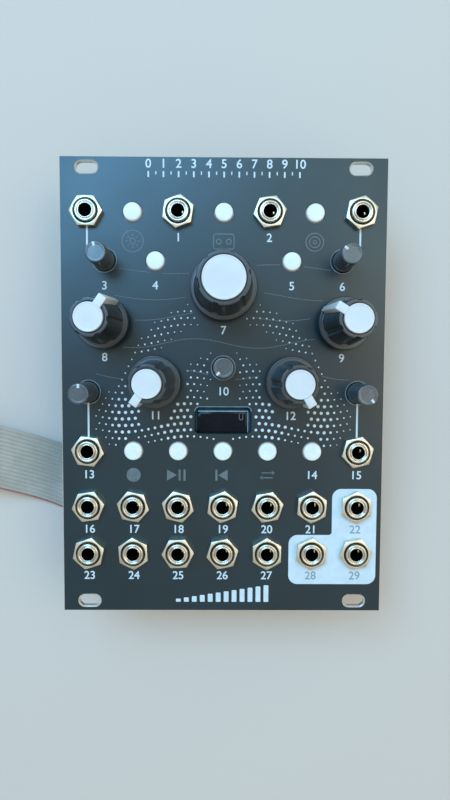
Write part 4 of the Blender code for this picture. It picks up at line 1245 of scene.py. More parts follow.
def rim_look(place):
    """What a rim's face shows: the buttons' holes lacquered, the trimmers' holes bare with a painted
    highlight above, a painted highlight on the window's top rim, the rest milled.
    """
    if is_near(place, map(axis_of, BUTTONS), BUTTON_FLANGE_RADIUS):
        return "anodised_black"
    if is_near(place, map(axis_of, TRIMMERS), TRIMMER_BODY_SIDE / 2):
        # The trimmers' upper rims are lightened grey: bare metal with a painted highlight.
        return "edge_grey" if place.z > (FACE_Z + REAR_Z) / 2 else "anodised_black"
    if by_window(place):
        # Only the window's top rim is painted light blue, as a painted highlight.
        painted_highlight_rim = place.y > WINDOW_Y + WINDOW_HEIGHT / 2 - WINDOW_RADIUS and place.z > FACE_Z - WINDOW_EDGE
        return "edge_blue" if painted_highlight_rim else "anodised_black"
    return "machined_aluminium"


def make_panel():
    bm = plate(panel_rings(), REAR_Z, FACE_Z, PANEL_EDGE, rim_size)
    looks = ["anodised_black", "machined_aluminium", "edge_blue", "edge_grey"]
    for face in bm.faces:
        heights = [vert.co.z for vert in face.verts]
        if max(heights) - min(heights) > MERGE:
            face.material_index = looks.index(rim_look(face.calc_center_median()))
    return piece("panel_plate", [(bm, looks)], nodes=("front_panel",), smooth=30)


def printed(name, shapes, look):
    """Print on the panel's face."""
    return piece(name, in_look(look, *shapes))


def ink(rings, level=0):
    """A printed area, as one thin layer over the face or over another layer."""
    low = FACE_Z + level * INK
    return plate(rings, low, low + INK)


def stroke(places, width=LINE_WIDTH):
    """A printed line through places, with mitred bends."""
    line = [Vector(place) for place in places]
    ways = [(b - a).normalized().orthogonal() * width / 2 for a, b in zip(line, line[1:])]
    bends = [(a + b) / (1 + a.dot(b) / (width / 2) ** 2) for a, b in zip(ways, ways[1:])]
    sides = [ways[0], *bends, ways[-1]]
    left = [tuple(place + side) for place, side in zip(line, sides)]
    right = [tuple(place - side) for place, side in zip(line, sides)]
    return ink([[*left, *reversed(right)]])


def number_shape(text, size, centre, level=0):
    """A printed number, centred on a place."""
    font = bpy.data.curves.new("number", "FONT")
    font.body = text
    font.size = size
    font.align_x = "CENTER"
    font.align_y = "CENTER"
    font.extrude = INK / 2
    font.offset = size * 0.012
    bm = mesh_of(font)
    bmesh.ops.remove_doubles(bm, verts=bm.verts, dist=MERGE)
    bmesh.ops.recalc_face_normals(bm, faces=bm.faces)
    return moved(bm, (*centre, FACE_Z + (level + 0.5) * INK))


def block_outline():
    """An L with rounded corners, its inner corner rounded too."""
    inner = BLOCK_RADIUS / 3
    points = []
    for x, y, side_x, side_y, radius, start, end in (
        (BLOCK_RIGHT, BLOCK_TOP, 1, 1, BLOCK_RADIUS, 0, 90),
        (BLOCK_INNER_X, BLOCK_TOP, -1, 1, BLOCK_RADIUS, 90, 180),
        (BLOCK_INNER_X, BLOCK_STEP, 1, -1, inner, 0, -90),
        (BLOCK_LEFT, BLOCK_STEP, -1, 1, BLOCK_RADIUS, 90, 180),
        (BLOCK_LEFT, BLOCK_FOOT, -1, -1, BLOCK_RADIUS, 180, 270),
        (BLOCK_RIGHT, BLOCK_FOOT, 1, -1, BLOCK_RADIUS, 270, 360),
    ):
        points += arc((x - side_x * radius, y - side_y * radius), radius, start, end, 8)
    return points


def label_places():
    """Where the printed numbers stand, from the top left in reading order."""
    places = [(-PITCH, ROW_1 - LABEL_BELOW), (PITCH, ROW_1 - LABEL_BELOW)]
    places += [(-0.0333, 0.0287), (-0.0191, 0.0288), (0.0191, 0.0288), (0.0333, 0.0287)]
    places += [(0, 0.0164), (-0.0334, 0.0087), (0.0334, 0.0087), (0, -0.0008)]
    places += [(-0.0191, -0.0077), (0.0191, -0.0077)]
    places += [(column * PITCH, ROW_2 - LABEL_BELOW) for column in (-3, 2, 3)]
    places += [(column * PITCH, row - LABEL_BELOW) for row in (ROW_3, ROW_4) for column in range(-3, 4)]
    return places


def on_block(place):
    x, y = place
    return y < BLOCK_STEP and x > BLOCK_LEFT or y < BLOCK_TOP and x > BLOCK_INNER_X


def make_numbers():
    plain = []
    raised = []
    for number, place in enumerate(label_places(), 1):
        if on_block(place):
            raised.append(number_shape(str(number), NUMBER_SIZE, place, 1))
        else:
            plain.append(number_shape(str(number), NUMBER_SIZE, place))
    printed("printed_numbers", plain, "ink_white")
    printed("printed_numbers_on_block", raised, "ink_slate")


def make_head_scale():
    """A plain scale from 0 to 10 across the panel's head."""
    shapes = []
    for step in range(21):
        x = (step / 2 - 5) * SCALE_STEP
        half_step = step % 2
        length, width = SHORT_TICK if half_step else LONG_TICK
        shapes.append(stroke([(x, SCALE_TICK_TOP), (x, SCALE_TICK_TOP - length)], width))
        if not half_step:
            shapes.append(number_shape(str(step // 2), SCALE_NUMBER_SIZE, (x, SCALE_Y)))
    printed("printed_head_scale", shapes, "ink_white")


def make_foot_ramp():
    """A row of bars that rise from left to right at the panel's foot."""
    shapes = []
    for bar, x in enumerate(even(RAMP_BARS, RAMP_PITCH)):
        height = RAMP_LEAST + RAMP_RISE * bar / (RAMP_BARS - 1)
        shapes.append(ink([rounded(RAMP_BAR_WIDTH, height, 0.0002, (x, RAMP_FOOT_Y + height / 2), 2)]))
    printed("printed_foot_ramp", shapes, "ink_white")


def make_lines():
    """Lines that join the upper and the lower jacks to their trimmers, and the outlined block."""
    shapes = []
    for side, word in zip(SIDES, ("left", "right")):
        x = side * 3 * PITCH
        trimmer = axis_of(f"trimmer_top_{word}")
        shapes.append(stroke([(x, ROW_1 - LINE_UNDER_JACK), (x, trimmer[1] + LINE_BEND), trimmer]))
        low = axis_of(f"trimmer_low_{word}")[1]
        shapes.append(stroke([(x, low), (x, ROW_2 + LINE_OVER_JACK)]))
    printed("printed_lines", shapes, "ink_white")
    jacks = [axis_of(name) for name in JACKS if on_block(axis_of(name))]
    holes = [circle(BARREL_RADIUS + HOLE_CLEARANCE, centre) for centre in jacks]
    printed("printed_block", [ink([block_outline(), *holes])], "ink_white")


def ring_shape(radius, centre):
    return ink([circle(radius, centre), circle(radius - THIN_LINE, centre)])


def make_icons():
    """Plain signs under the buttons: rays, two reels, a disc, and the usual transport signs."""
    top = ROW_1 - SIGN_BELOW
    low = ROW_2 - LABEL_BELOW
    sun = (-2 * PITCH, top)
    shapes = [ring_shape(SUN_RADII[0], sun)]
    for angle in range(0, 360, 45):
        ray = [arc(sun, reach, angle, angle)[0] for reach in RAY_ENDS]
        shapes.append(stroke(ray, THIN_LINE))
    shapes.append(ring_shape(SUN_RADII[1], sun))
    reels = (0, top)
    shapes.append(ink([rounded(0.0060, 0.0044, 0.0008, reels), rounded(0.0055, 0.0039, 0.0006, reels)]))
    shapes += [ring_shape(REEL_RADIUS, (x, top)) for x in even(2, REEL_SPACING)]
    shapes += [ring_shape(radius, (2 * PITCH, top)) for radius in DISC_RADII]
    shapes.append(ink([circle(RECORD_RADIUS, (-2 * PITCH, low))]))
    shapes += transport_signs(low)
    printed("printed_signs", shapes, "ink_grey")


def arrow(tip, base, y, half=SIGN_HALF):
    """A solid arrowhead that points along X."""
    return ink([[(base, y + half), (base, y - half), (tip, y)]])


def upright_bar(x, y):
    return ink([rounded(SIGN_BAR_WIDTH, 2 * SIGN_HALF, 0.0001, (x, y), 2)])


def transport_signs(y):
    """Play and pause, back to start, and two loop arrows."""
    shapes = [arrow(-PITCH - 0.0004, -PITCH - 0.0032, y)]
    shapes += [upright_bar(x, y) for x in (-PITCH + 0.0004, -PITCH + 0.0018, -0.0018)]
    shapes.append(arrow(-0.0013, 0.0014, y))
    for side in SIDES:
        bar_y = y + side * LOOP_HALF
        tip = PITCH + side * LOOP_TIP
        shapes.append(stroke([(PITCH - SIGN_HALF, bar_y), (PITCH + SIGN_HALF, bar_y)], LOOP_WIDTH))
        shapes.append(arrow(tip, tip - side * HEAD_LENGTH, bar_y, HEAD_HALF))
    return shapes


def keep_clear():
    """(place, radius) round each control and number, which the dots and waves leave bare."""
    spots = [(axis_of(name), radius) for names, radius in BARE_ROUND for name in names]
    spots += [((x + side * 0.0012, y), BARE_NUMBER) for x, y in label_places() for side in SIDES]
    return [(Vector(place), radius) for place, radius in spots]


def clear_of(place, size, spots):
    """Whether a printed mark of a size keeps off the window, the panel's sides and the controls."""
    by_x = abs(place.x) < WINDOW_WIDTH / 2 + WINDOW_MARGIN_X
    if by_x and abs(place.y - WINDOW_Y) < WINDOW_HEIGHT / 2 + WINDOW_MARGIN_Y:
        return False
    if abs(place.x) > 3 * PITCH - SIDE_MARGIN:
        return False
    return all((place - centre).length > radius + size for centre, radius in spots)


def tone(place):
    """How strong the halftone is at a place, from 0 to 1."""
    level = math.exp(-(((place.y - TONE_Y) / TONE_HEIGHT) ** 2))
    beside = level * math.exp(-((abs(place.x) / TONE_WIDTH) ** 6))
    reach = math.hypot(place.x, (place.y - RINGS_Y) * 0.9)
    rings = 0.5 + 0.5 * math.cos(reach * RINGS_RATE)
    fade = math.exp(-((reach / RINGS_REACH) ** 6))
    return min(1.0, beside * 0.80 + fade * (0.14 + 0.46 * rings**2))


def make_dots():
    """A halftone in slow waves across the panel's middle, largest on both sides of the window."""
    spots = keep_clear()
    rings = []
    columns = round(2 * TONE_SIDE / DOT_SPACING)
    for row in range(DOT_ROWS):
        base = DOT_FOOT + (DOT_TOP - DOT_FOOT) * row / (DOT_ROWS - 1)
        for column in range(columns + 1):
            x = -TONE_SIDE + (column + row % 2 / 2) * DOT_SPACING
            place = Vector((x, base + WAVE_HEIGHT * math.sin(abs(x) * WAVE_RATE)))
            size = DOT_LARGEST * tone(place)
            if size > DOT_LEAST and clear_of(place, size, spots):
                rings.append(circle(size, place, 10))
    printed("printed_dots", [ink(rings)], "ink_white")


def make_waves():
    """Faint lines that swing across the panel's middle and stop short of what stands on it."""
    spots = keep_clear()
    rings = []
    for index, base in enumerate(WAVE_LINES):
        points = []
        for step in range(round(2 * TONE_SIDE / WAVE_STEP) + 1):
            x = -TONE_SIDE + step * WAVE_STEP
            points.append(Vector((x, base + WAVE_HEIGHT * math.sin(x * (110 + 23 * index) + index))))
        for start, end in zip(points, points[1:]):
            if clear_of(start, 0, spots) and clear_of(end, 0, spots):
                square = (end - start).orthogonal().normalized() * WAVE_LINE_WIDTH / 2
                first = start.lerp(end, 0.06)
                last = end.lerp(start, 0.06)
                corners = (first + square, last + square, last - square, first - square)
                rings.append([tuple(corner) for corner in corners])
    printed("printed_waves", [ink(rings)], "ink_grey")


# Controls

def thread(radius, low, high):
    """The outside of a threaded barrel as (radius, height) pairs, from the top down."""
    points = []
    for turn in range(int((high - low) / THREAD_PITCH)):
        z = high - turn * THREAD_PITCH
        points += [(radius - THREAD_DEPTH, z), (radius, z - THREAD_PITCH / 2)]
    return points


def barrel_shape(centre):
    """A threaded barrel with an open bore and a lip of two rounded ridges."""
    shoulder = REAR_Z - SEAT_GAP
    floor = JACK_BASE_Z + BORE_FLOOR
    outer = BARREL_RADIUS - 0.00002
    profile = [(0, floor), (BORE_RADIUS, floor), (BORE_RADIUS, LIP_Z - LIP_LIT)]
    profile += arc((BORE_RADIUS + INNER_RIDGE, LIP_Z - INNER_RIDGE), INNER_RIDGE, 180, 20, 8)
    profile.append((outer - 2 * OUTER_RIDGE - 0.00003, LIP_Z - OUTER_RIDGE))
    profile += arc((outer - OUTER_RIDGE, LIP_Z - OUTER_RIDGE), OUTER_RIDGE, 170, 0, 12)
    profile += thread(outer, shoulder + 0.0004, LIP_Z - 0.0006)
    sleeve = SLEEVE_RADIUS - SEAT_GAP / 3
    under = floor - 0.0001
    profile += [(outer, shoulder), (sleeve, shoulder), (sleeve, under), (0, under)]
    return turned(profile, centre)


def mark_barrel(bm, centre):
    """Leaves the lip bright, and marks the bore and the outside as the second and third look, both painted
    shade.
    """
    for face in bm.faces:
        place = face.calc_center_median()
        if place.z < LIP_Z - LIP_LIT:
            inside = (place.xy - Vector(centre)).length < BORE_RADIUS + 0.0001
            face.material_index = 1 if inside else 2


def housing_shapes(centre):
    """The jack's moulded body with its top plate, its side springs and its end contacts."""
    x, y = centre
    width, depth, height = JACK_BODY
    base = JACK_BASE_Z
    top = base + height
    throat = circle(SLEEVE_RADIUS, centre, 32)
    body = rounded(width - 0.0002, depth - 0.0002, 0.0005, centre, 3)
    lid = rounded(width - 0.0008, depth - 0.0008, 0.0004, centre, 3)
    foot = (width - 0.0006, depth - 0.0006, 0.0012)
    shapes = [
        (plate([body, throat], base + 0.0012, top - 0.0003, FIRM_EDGE), "housing_black"),
        (plate([lid, throat], base + height - 0.0004, top, FINE_EDGE), "tinned_metal"),
        (block((x, y, base + 0.0006), foot, FIRM_EDGE), "housing_black"),
    ]
    for side in SIDES:
        place = (x + side * width / 2, y + side * 0.0012, base + 0.0048)
        shapes.append((block(place, SIDE_SPRING_SIZE, THIN_EDGE), "contact_brass"))
        place = (x, y + side * depth / 2, base + 0.0060)
        shapes.append((block(place, END_CONTACT_SIZE, THIN_EDGE), "tinned_metal"))
    return shapes


def make_jack(name, nut_turn):
    """One jack: its housing, its barrel with the contact in the bore, and its nut."""
    centre = middle(name)
    piece(f"{name}_housing", housing_shapes(centre), nodes=(name,))
    barrel = barrel_shape(centre)
    mark_barrel(barrel, centre)
    place = (centre[0] + 0.0013, centre[1] + 0.0002, LIP_Z - 0.0042)
    leaf = block(place, BORE_CONTACT_SIZE, FIRM_EDGE)
    # The bore and the threaded outside take painted shade: near-black inside, darker steel outside.
    looks = ["bright_nickel", "bore_black", "thread_steel"]
    piece(f"{name}_barrel", [(barrel, looks), (leaf, "contact_brass")])
    nut = hex_nut(
        centre, FACE_Z + SEAT_GAP * 0.3, JACK_NUT_HEIGHT + SEAT_GAP * 0.7, JACK_NUT_FLATS,
        BARREL_RADIUS + 0.00005, nut_turn,
    )
    # The nut's countersunk bore takes the darker steel as painted shade.
    for face in nut.faces:
        reach = math.dist(face.calc_center_median().xy, centre)
        face.material_index = 1 if reach < BARREL_RADIUS + NUT_SUNK else 0
    piece(f"{name}_nut", [(nut, ["nickel_nut", "thread_steel"])], smooth=24)


def tails(x, y, z, size):
    """Three tinned legs in a row."""
    legs = (block((x + step, y, z), size, FINE_EDGE) for step in even(3, LEG_PITCH))
    return in_look("tinned_metal", *legs)


def bush_shape(centre, shoulder, top):
    """A potentiometer's threaded bush, open for its shaft."""
    bore = SHAFT_RADIUS + 0.00018
    outer = POT_BUSH_RADIUS
    root = shoulder - BUSH_ROOT
    profile = [(bore, root), (bore, top - 0.0001), (bore + 0.0001, top), (outer - 0.0001, top)]
    profile += thread(outer, shoulder + 0.0004, top - 0.0001)
    profile += [(outer, shoulder - 0.0002), (outer, root)]
    return turned(profile, centre, 40, ring=True)


def make_pot(name):
    """A square potentiometer: steel cover over a moulded base, threaded bush, washer and nut."""
    x, y = centre = axis_of(name.replace("pot", "knob"))
    width, depth, height = POT_BODY
    base = BOXES[name][0].z
    shapes = [
        (block((x, y, base + 0.0016), (width - 0.0002, depth - 0.0002, 0.0032), WIDE_EDGE), "housing_black"),
        (block((x, y, base + 0.0048), (width - 0.0001, depth - 0.0001, 0.0034), BROAD_EDGE, 3), "can_steel"),
    ]
    for side in SIDES:
        place = (x + side * (width / 2 - 0.0001), y, base + 0.0020)
        shapes.append((block(place, POT_LUG_SIZE, THIN_EDGE), "can_steel"))
    shapes += tails(x, y - depth / 2 + 0.0001, base + 0.0014, POT_LEG_SIZE)
    inner = POT_BUSH_RADIUS + 0.0001
    foot = FACE_Z + SEAT_GAP * 0.3
    seat = foot + WASHER_HEIGHT
    washer = [(inner, foot), (WASHER_RADIUS, foot), (WASHER_RADIUS, seat), (inner, seat)]
    nut_height = FACE_Z + SEAT_GAP + POT_NUT_HEIGHT - seat
    shapes += [
        (bush_shape(centre, base + height, BOXES[name][1].z), "bright_nickel"),
        (turned(washer, centre, ring=True), "bright_nickel"),
        (hex_nut(centre, seat, nut_height, POT_NUT_FLATS, POT_BUSH_RADIUS + 0.00005, 0), "nickel_nut"),
    ]
    piece(f"{name}_body", shapes, nodes=(name,))


def knob_profile(cap, top, height):
    """A knob's outside as (radius, height) pairs: recess for the cap, shoulder, side and skirt."""
    waist = top + TAPER
    skirt = waist + SKIRT_STEP
    shoulder = height - CAP_HEIGHT - RIM_HEIGHT / 2
    gap = cap + CAP_GAP
    floor = shoulder - RIM_HEIGHT
    bend = KNOB_BEND
    profile = [(0, floor), (gap, floor)]
    profile += arc((gap + bend / 2, shoulder - bend / 2), bend / 2, 180, 90)
    profile += [(top - FLUTE_DEPTH - bend, shoulder), (top - FLUTE_DEPTH, shoulder)]
    profile += arc((top - bend, shoulder - bend), bend, 90, 0)
    for share in (0.25, 0.5, 0.75):
        profile.append((top + TAPER * share, shoulder + (SKIRT_HEIGHT - shoulder) * share))
    profile += arc((waist + bend, SKIRT_HEIGHT + bend), bend, 180, 270)
    profile.append((waist + 2 * bend, SKIRT_HEIGHT - bend / 6))
    profile += arc((skirt - bend, SKIRT_HEIGHT - bend), bend, 90, 0)
    profile += [(skirt, bend / 2), (skirt - bend / 2, 0), (0, 0)]
    return profile


def grooved(bm, top, shoulder):
    """Draws a turned side in at five of six even places, and leaves +Y, the pointer's, as it is."""
    pitch = 2 * math.pi / FLUTES
    last = len(GROOVE_SHARES) - 1
    for vert in bm.verts:
        reach = vert.co.xy.length
        step = round(math.atan2(-vert.co.x, vert.co.y) / pitch * 2 * HALF_STEPS)
        groove = round(step / (2 * HALF_STEPS))
        beside = step - groove * 2 * HALF_STEPS
        share, depth_share = GROOVE_SHARES[min(abs(beside), last)]
        turn = share * FLUTE_WIDTH / 2 / top
        if abs(beside) > last:
            turn += (pitch / 2 - turn) * (abs(beside) - last) / (HALF_STEPS - last)
        turn = groove * pitch + math.copysign(turn, beside)
        if groove % FLUTES and vert.co.z > SKIRT_HEIGHT + MERGE:
            fall = (shoulder - vert.co.z) / (shoulder - SKIRT_HEIGHT)
            reach = min(reach, top + TAPER * fall - FLUTE_DEPTH * depth_share)
        vert.co.xy = (-reach * math.sin(turn), reach * math.cos(turn))
    bmesh.ops.remove_doubles(bm, verts=bm.verts, dist=MERGE)
    bmesh.ops.recalc_face_normals(bm, faces=bm.faces)


def put_on_axis(name, shapes):
    """Turns shapes as a control points, and moves them from the origin to its axis."""
    for shape, _ in shapes:
        rotated(shape, ORIGIN, -math.radians(pointing(name)))
        moved(shape, (*axis_of(name), JOINTS[name]["pos_m"][2]))


def cap_shape(cap, height):
    """A faintly dished disc with a rounded rim."""
    foot = height - CAP_HEIGHT - RIM_HEIGHT
    rim = CAP_RIM
    profile = [(0, height - rim / 2), (cap - 4 * rim, height - rim / 2)]
    profile += [(cap - 3 * rim, height - rim / 2), (cap - 2 * rim, height - rim / 4)]
    profile += arc((cap - rim, height - rim), rim, 110, 0)
    profile += [(cap, foot), (0, foot)]
    return turned(profile, steps=72)


def pointer_shape(cap, top, height):
    """A fin along +Y, from under the disc out and down to the skirt, narrower at its foot."""
    skirt = top + TAPER + SKIRT_STEP
    bm = bmesh.new()
    bmesh.ops.create_cube(bm, size=1)
    for vert in bm.verts:
        upper = vert.co.z > 0
        reach = top + POINTER_PROUD if upper else skirt + POINTER_FOOT_PROUD
        vert.co.x *= POINTER_WIDTH if upper else POINTER_FOOT_WIDTH
        vert.co.y = reach if vert.co.y > 0 else cap - POINTER_TUCK
        vert.co.z = height - CAP_HEIGHT / 2 if upper else SKIRT_HEIGHT / 2
    bmesh.ops.bevel(
        bm, geom=bm.edges[:], offset=POINTER_EDGE, segments=3, profile=0.5, affect="EDGES", material=-1,
    )
    return bm


def make_knob(name):
    """Fluted body on its shaft, white disc, and the white pointer where there is one; the large knob has a
    painted shadow in its pointer's slit instead.
    """
    base = JOINTS[name]["pos_m"][2]
    low, high = BOXES[name]
    height = high.z - base
    large = name == "knob_large"
    cap = LARGE_CAP_RADIUS if large else SMALL_CAP_RADIUS
    top = LARGE_TOP_RADIUS if large else SMALL_TOP_RADIUS
    shoulder = height - CAP_HEIGHT - RIM_HEIGHT / 2
    body = turned(knob_profile(cap, top, height), steps=2 * HALF_STEPS * FLUTES)
    grooved(body, top, shoulder)
    shaft = rod(ORIGIN, SHAFT_RADIUS, low.z - base, 0.0004, 0.0003, 32)
    shapes = [(body, "knob_black"), (shaft, "can_steel")]
    lids = [(cap_shape(cap, height), "cap_white")]
    if large:
        # A near-black block in the shoulder stands for the shadow in the pointer's slit: painted shade.
        slit_shade = block((0, top - SLIT_SHADE_INSET, shoulder - SLIT_SHADE_SUNK), SLIT_SHADE_SIZE, 0.00004)
        shapes.append((slit_shade, "bore_black"))
    else:
        lids.append((pointer_shape(cap, top, height), "cap_white"))
    put_on_axis(name, [*shapes, *lids])
    piece(f"{name}_grip", shapes, name, (name,))
    piece(f"{name}_cap", lids, name)


def make_trimmer(name):
    """A slender tapered shaft with a white mark at its tip."""
    low, high = BOXES[name]
    base = JOINTS[name]["pos_m"][2]
    tip = high.z - base
    end = low.z - base
    foot = TRIMMER_FOOT_RADIUS
    crown = TRIMMER_TIP_RADIUS
    rim = TRIMMER_RIM
    stem = TRIMMER_STEM_RADIUS
    profile = [(0, tip - FINE_EDGE), (crown - 0.0009, tip - FINE_EDGE)]
    profile += [(crown - 0.0008, tip - FINE_EDGE), (crown - 0.0006, tip)]
    profile += arc((crown - rim, tip - rim), rim, 90, 0)
    profile += [(foot, FACE_Z - base), (foot, 0.0003), (foot - 0.0003, 0), (stem, 0)]
    profile += [(stem, end + 0.0002), (stem - 0.0002, end), (0, end)]
    mark = block(
        (0, crown - MARK_LENGTH / 2 - 0.00018, tip - 0.0004), (MARK_WIDTH, MARK_LENGTH, 0.00086), THIN_EDGE,
    )
    shapes = [(turned(profile, steps=64), "trimmer_plastic"), (mark, "cap_white")]
    put_on_axis(name, shapes)
    piece(f"{name}_shaft", shapes, name, (name,))


def make_button(name):
    """A milky cap with a soft crown, its hidden flange and its stem."""
    low, high = BOXES[name]
    radius = BUTTON_RADIUS
    flange = BUTTON_FLANGE_RADIUS
    stem = BUTTON_STEM_RADIUS
    flange_top = REAR_Z - SEAT_GAP
    flange_foot = flange_top - BUTTON_FLANGE_HEIGHT
    profile = [(0, high.z), (radius * 0.5, high.z - 0.00003)]
    profile += arc((radius - BUTTON_CROWN, high.z - BUTTON_CROWN - 0.0001), BUTTON_CROWN, 90, 0, 8)
    profile += [(radius, flange_top), (flange - 0.0001, flange_top), (flange, flange_top - 0.0001)]
    profile += [(flange, flange_foot), (stem, flange_foot), (stem, low.z), (0, low.z)]
    shape = turned(profile, middle(name), 56)
    # The caps carry a faint painted glow.
    piece(f"{name}_cap", [(shape, "button_milk")], name, (name,))


# Behind the panel

def switch_shapes(centre):
    """A square switch: moulded base, steel cover with four rivets, and its plunger."""
    x, y = centre
    foot = BOARD_FRONT_Z
    top = foot + SWITCH_HEIGHT
    base = (SWITCH_SIDE, SWITCH_SIDE, SWITCH_HEIGHT)
    cover = (SWITCH_SIDE - 0.0004, SWITCH_SIDE - 0.0004, 0.0002)
    shapes = [
        (block((x, y, foot + SWITCH_HEIGHT / 2), base, FIRM_EDGE), "housing_black"),
        (block((x, y, top - 0.0001), cover, FINE_EDGE), "can_steel"),
        (rod(centre, PLUNGER_RADIUS, top - 0.0005, top + 0.0010), "housing_black"),
    ]
    for side_x in SIDES:
        for side_y in SIDES:
            place = (x + side_x * RIVET_REACH, y + side_y * RIVET_REACH)
            shapes.append((rod(place, RIVET_RADIUS, top - 0.0001, top + 0.0002, steps=12), "housing_black"))
            place = (x + side_x * SWITCH_LEG_X, y + side_y * SWITCH_LEG_Y, foot + 0.0008)
            shapes.append((block(place, SWITCH_LEG_SIZE, FINE_EDGE), "tinned_metal"))
    return shapes


def trimmer_body_shapes(centre):
    """The rotary part that a slender shaft plugs into."""
    x, y = centre
    foot = BOARD_FRONT_Z
    side = TRIMMER_BODY_SIDE
    height = TRIMMER_BODY_HEIGHT
    top = foot + height
    body = block((x, y, foot + height / 2 - 0.0001), (side, side, height - 0.0002), WIDE_EDGE)
    crown = [(0.0016, top - 0.0004), (0.0016, top), (0.0028, top), (0.0028, top - 0.0004)]
    return [
        (body, "housing_black"), (turned(crown, centre, 32, ring=True), "tinned_metal"),
        *tails(x, y - side / 2, foot + 0.0010, TRIMMER_LEG_SIZE),
    ]


def joint_dome(centre, radius):
    """A solder joint on the board's rear, drawn up round a clipped leg."""
    shares = ((0, 0), (1, 0), (0.82, 0.25), (0.45, 0.6), (0.34, 1), (0, 1.1))
    return turned([(radius * out, BOARD_REAR_Z - JOINT_HEIGHT * down) for out, down in shares], centre, 12)


def rear_clear(shape):
    """Leaves out joints that the header or the processor's sockets stand on."""
    xs = [v.co.x for v in shape.verts]
    ys = [v.co.y for v in shape.verts]
    for node in ("socket_strip_left", "socket_strip_right", "power_header"):
        low, high = BOXES[node]
        if low.x < max(xs) and min(xs) < high.x and low.y < max(ys) and min(ys) < high.y:
            shape.free()
            return False
    return True


def solder_shapes():
    """Joints of the jacks, the potentiometers, the trimmers and the switches."""
    shapes = []
    for names, joints in SOLDER_JOINTS:
        for name in names:
            x, y = axis_of(name)
            shapes += [joint_dome((x + beside, y + along), radius) for beside, along, radius in joints]
    return in_look("tinned_metal", *(shape for shape in shapes if rear_clear(shape)))


def chip_shapes(centre, size, legs, turn=0.0, face_z=BOARD_REAR_Z):
    """A packaged chip with rows of legs on two sides, under a board."""
    x, y = centre
    width, length, height = size
    low = face_z - height
    pitch = length / legs
    body = block((x, y, face_z - height / 2 - 0.0001), size, FIRM_EDGE)
    dot = rod((x - width / 2 + 0.0006, y + length / 2 - 0.0006), 0.00025, low - 0.00013, low, 0.00003, 12)
    shapes = [(body, "housing_black"), (dot, "ceramic_tan")]
    for along in even(legs, pitch):
        for side in SIDES:
            place = (x + side * (width / 2 + 0.0004), y + along, face_z - 0.00015)
            shapes.append((block(place, (0.0010, pitch * 0.4, 0.0003), FINE_EDGE), "tinned_metal"))
    return all_rotated(shapes, centre, turn)


def passive_shapes(centre, look, turn=0.0, face_z=BOARD_REAR_Z):
    """A chip resistor or capacitor with its two tinned ends."""
    x, y = centre
    z = face_z - PASSIVE_HEIGHT / 2
    end = (0.0003, 0.00085, PASSIVE_HEIGHT * 1.04)
    shapes = [(block((x, y, z), (0.0011, 0.0008, PASSIVE_HEIGHT), THIN_EDGE), look)]
    shapes += in_look("tinned_metal", *(block((x + side * 0.00068, y, z), end, FINE_EDGE) for side in SIDES))
    return all_rotated(shapes, centre, turn)


def can_shapes(centre):
    """An aluminium electrolytic capacitor on its square foot."""
    low = BOARD_REAR_Z
    side = 2 * CAN_RADIUS + 0.0003
    foot = block((*centre, low - 0.0004), (side, side, 0.0008), WIDE_EDGE)
    rim = CAN_RADIUS
    steps = (
        (0, 0.0008), (rim, 0.0008), (rim, 0.0016), (rim - 0.0002, 0.0018), (rim, 0.0020),
        (rim, CAN_HEIGHT - 0.0004), (rim - 0.0004, CAN_HEIGHT), (0, CAN_HEIGHT),
    )
    can = turned([(radius, low - down) for radius, down in steps], centre, 32)
    return [(foot, "housing_black"), (can, "can_steel")]


def passive_places():
    """Rows of small parts beside the chips, in pairs."""
    places = []
    for (x, y), size, _, across in REAR_CHIPS:
        for way in even(4, 0.0022):
            if across:
                places += [(x + way, y + 0.0050, QUARTER), (x + way, y - 0.0050, QUARTER)]
            else:
                places.append((x + size[0] / 2 + 0.0024, y + way, 0.0))
    for row in range(5):
        places += [(-0.0070 + row * 0.0034, y, QUARTER) for y in (0.0400, 0.0436)]
    return places


def board_plate(name, node, low, high, corner):
    """A board with rounded corners, lacquered faces and a sawn edge."""
    centre = ((low.x + high.x) / 2, (low.y + high.y) / 2)
    bm = plate([rounded(high.x - low.x, high.y - low.y, corner, centre)], low.z, high.z, FINE_EDGE)
    for face in bm.faces:
        face.material_index = 0 if abs(face.normal.z) > 0.9 else 1
    piece(name, [(bm, ["solder_mask", "laminate"])], nodes=(node,))


def make_board():
    """The control board and what is soldered to it."""
    low, high = BOXES["control_board"]
    rear = Vector((low.x, low.y, BOARD_REAR_Z))
    front = Vector((high.x, high.y, BOARD_FRONT_Z))
    board_plate("control_board_plate", "control_board", rear, front, 0.0015)
    for name in BUTTONS:
        piece(f"{name}_switch", switch_shapes(axis_of(name)))
    for name in TRIMMERS:
        piece(f"{name}_body", trimmer_body_shapes(axis_of(name)))
    piece("board_solder", solder_shapes(), smooth=60)
    chips = []
    for centre, size, legs, across in REAR_CHIPS:
        chips += chip_shapes(centre, size, legs, QUARTER if across else 0.0)
    piece("board_chips", chips)
    passives = []
    for index, (x, y, turn) in enumerate(passive_places()):
        passives += passive_shapes((x, y), "ceramic_tan" if index % 3 else "housing_black", turn)
    piece("board_passives", passives)
    cans = [shape for centre in REAR_CANS for shape in can_shapes(centre)]
    piece("board_capacitors", cans)


def ink_at(rings, low):
    return plate(rings, low - INK / 2, low + INK / 2)


def notch_outline(x, top):
    """The seal's U at the glass's upper right: a line down, round and up again."""
    half = 0.0006
    line = 0.00018
    foot = top - 0.0013
    points = [(x - half, top)]
    points += arc((x, foot), half, 180, 360, 8)
    points += [(x + half, top), (x + half - line, top)]
    points += arc((x, foot), half - line, 360, 180, 8)
    points.append((x - half + line, top))
    return points


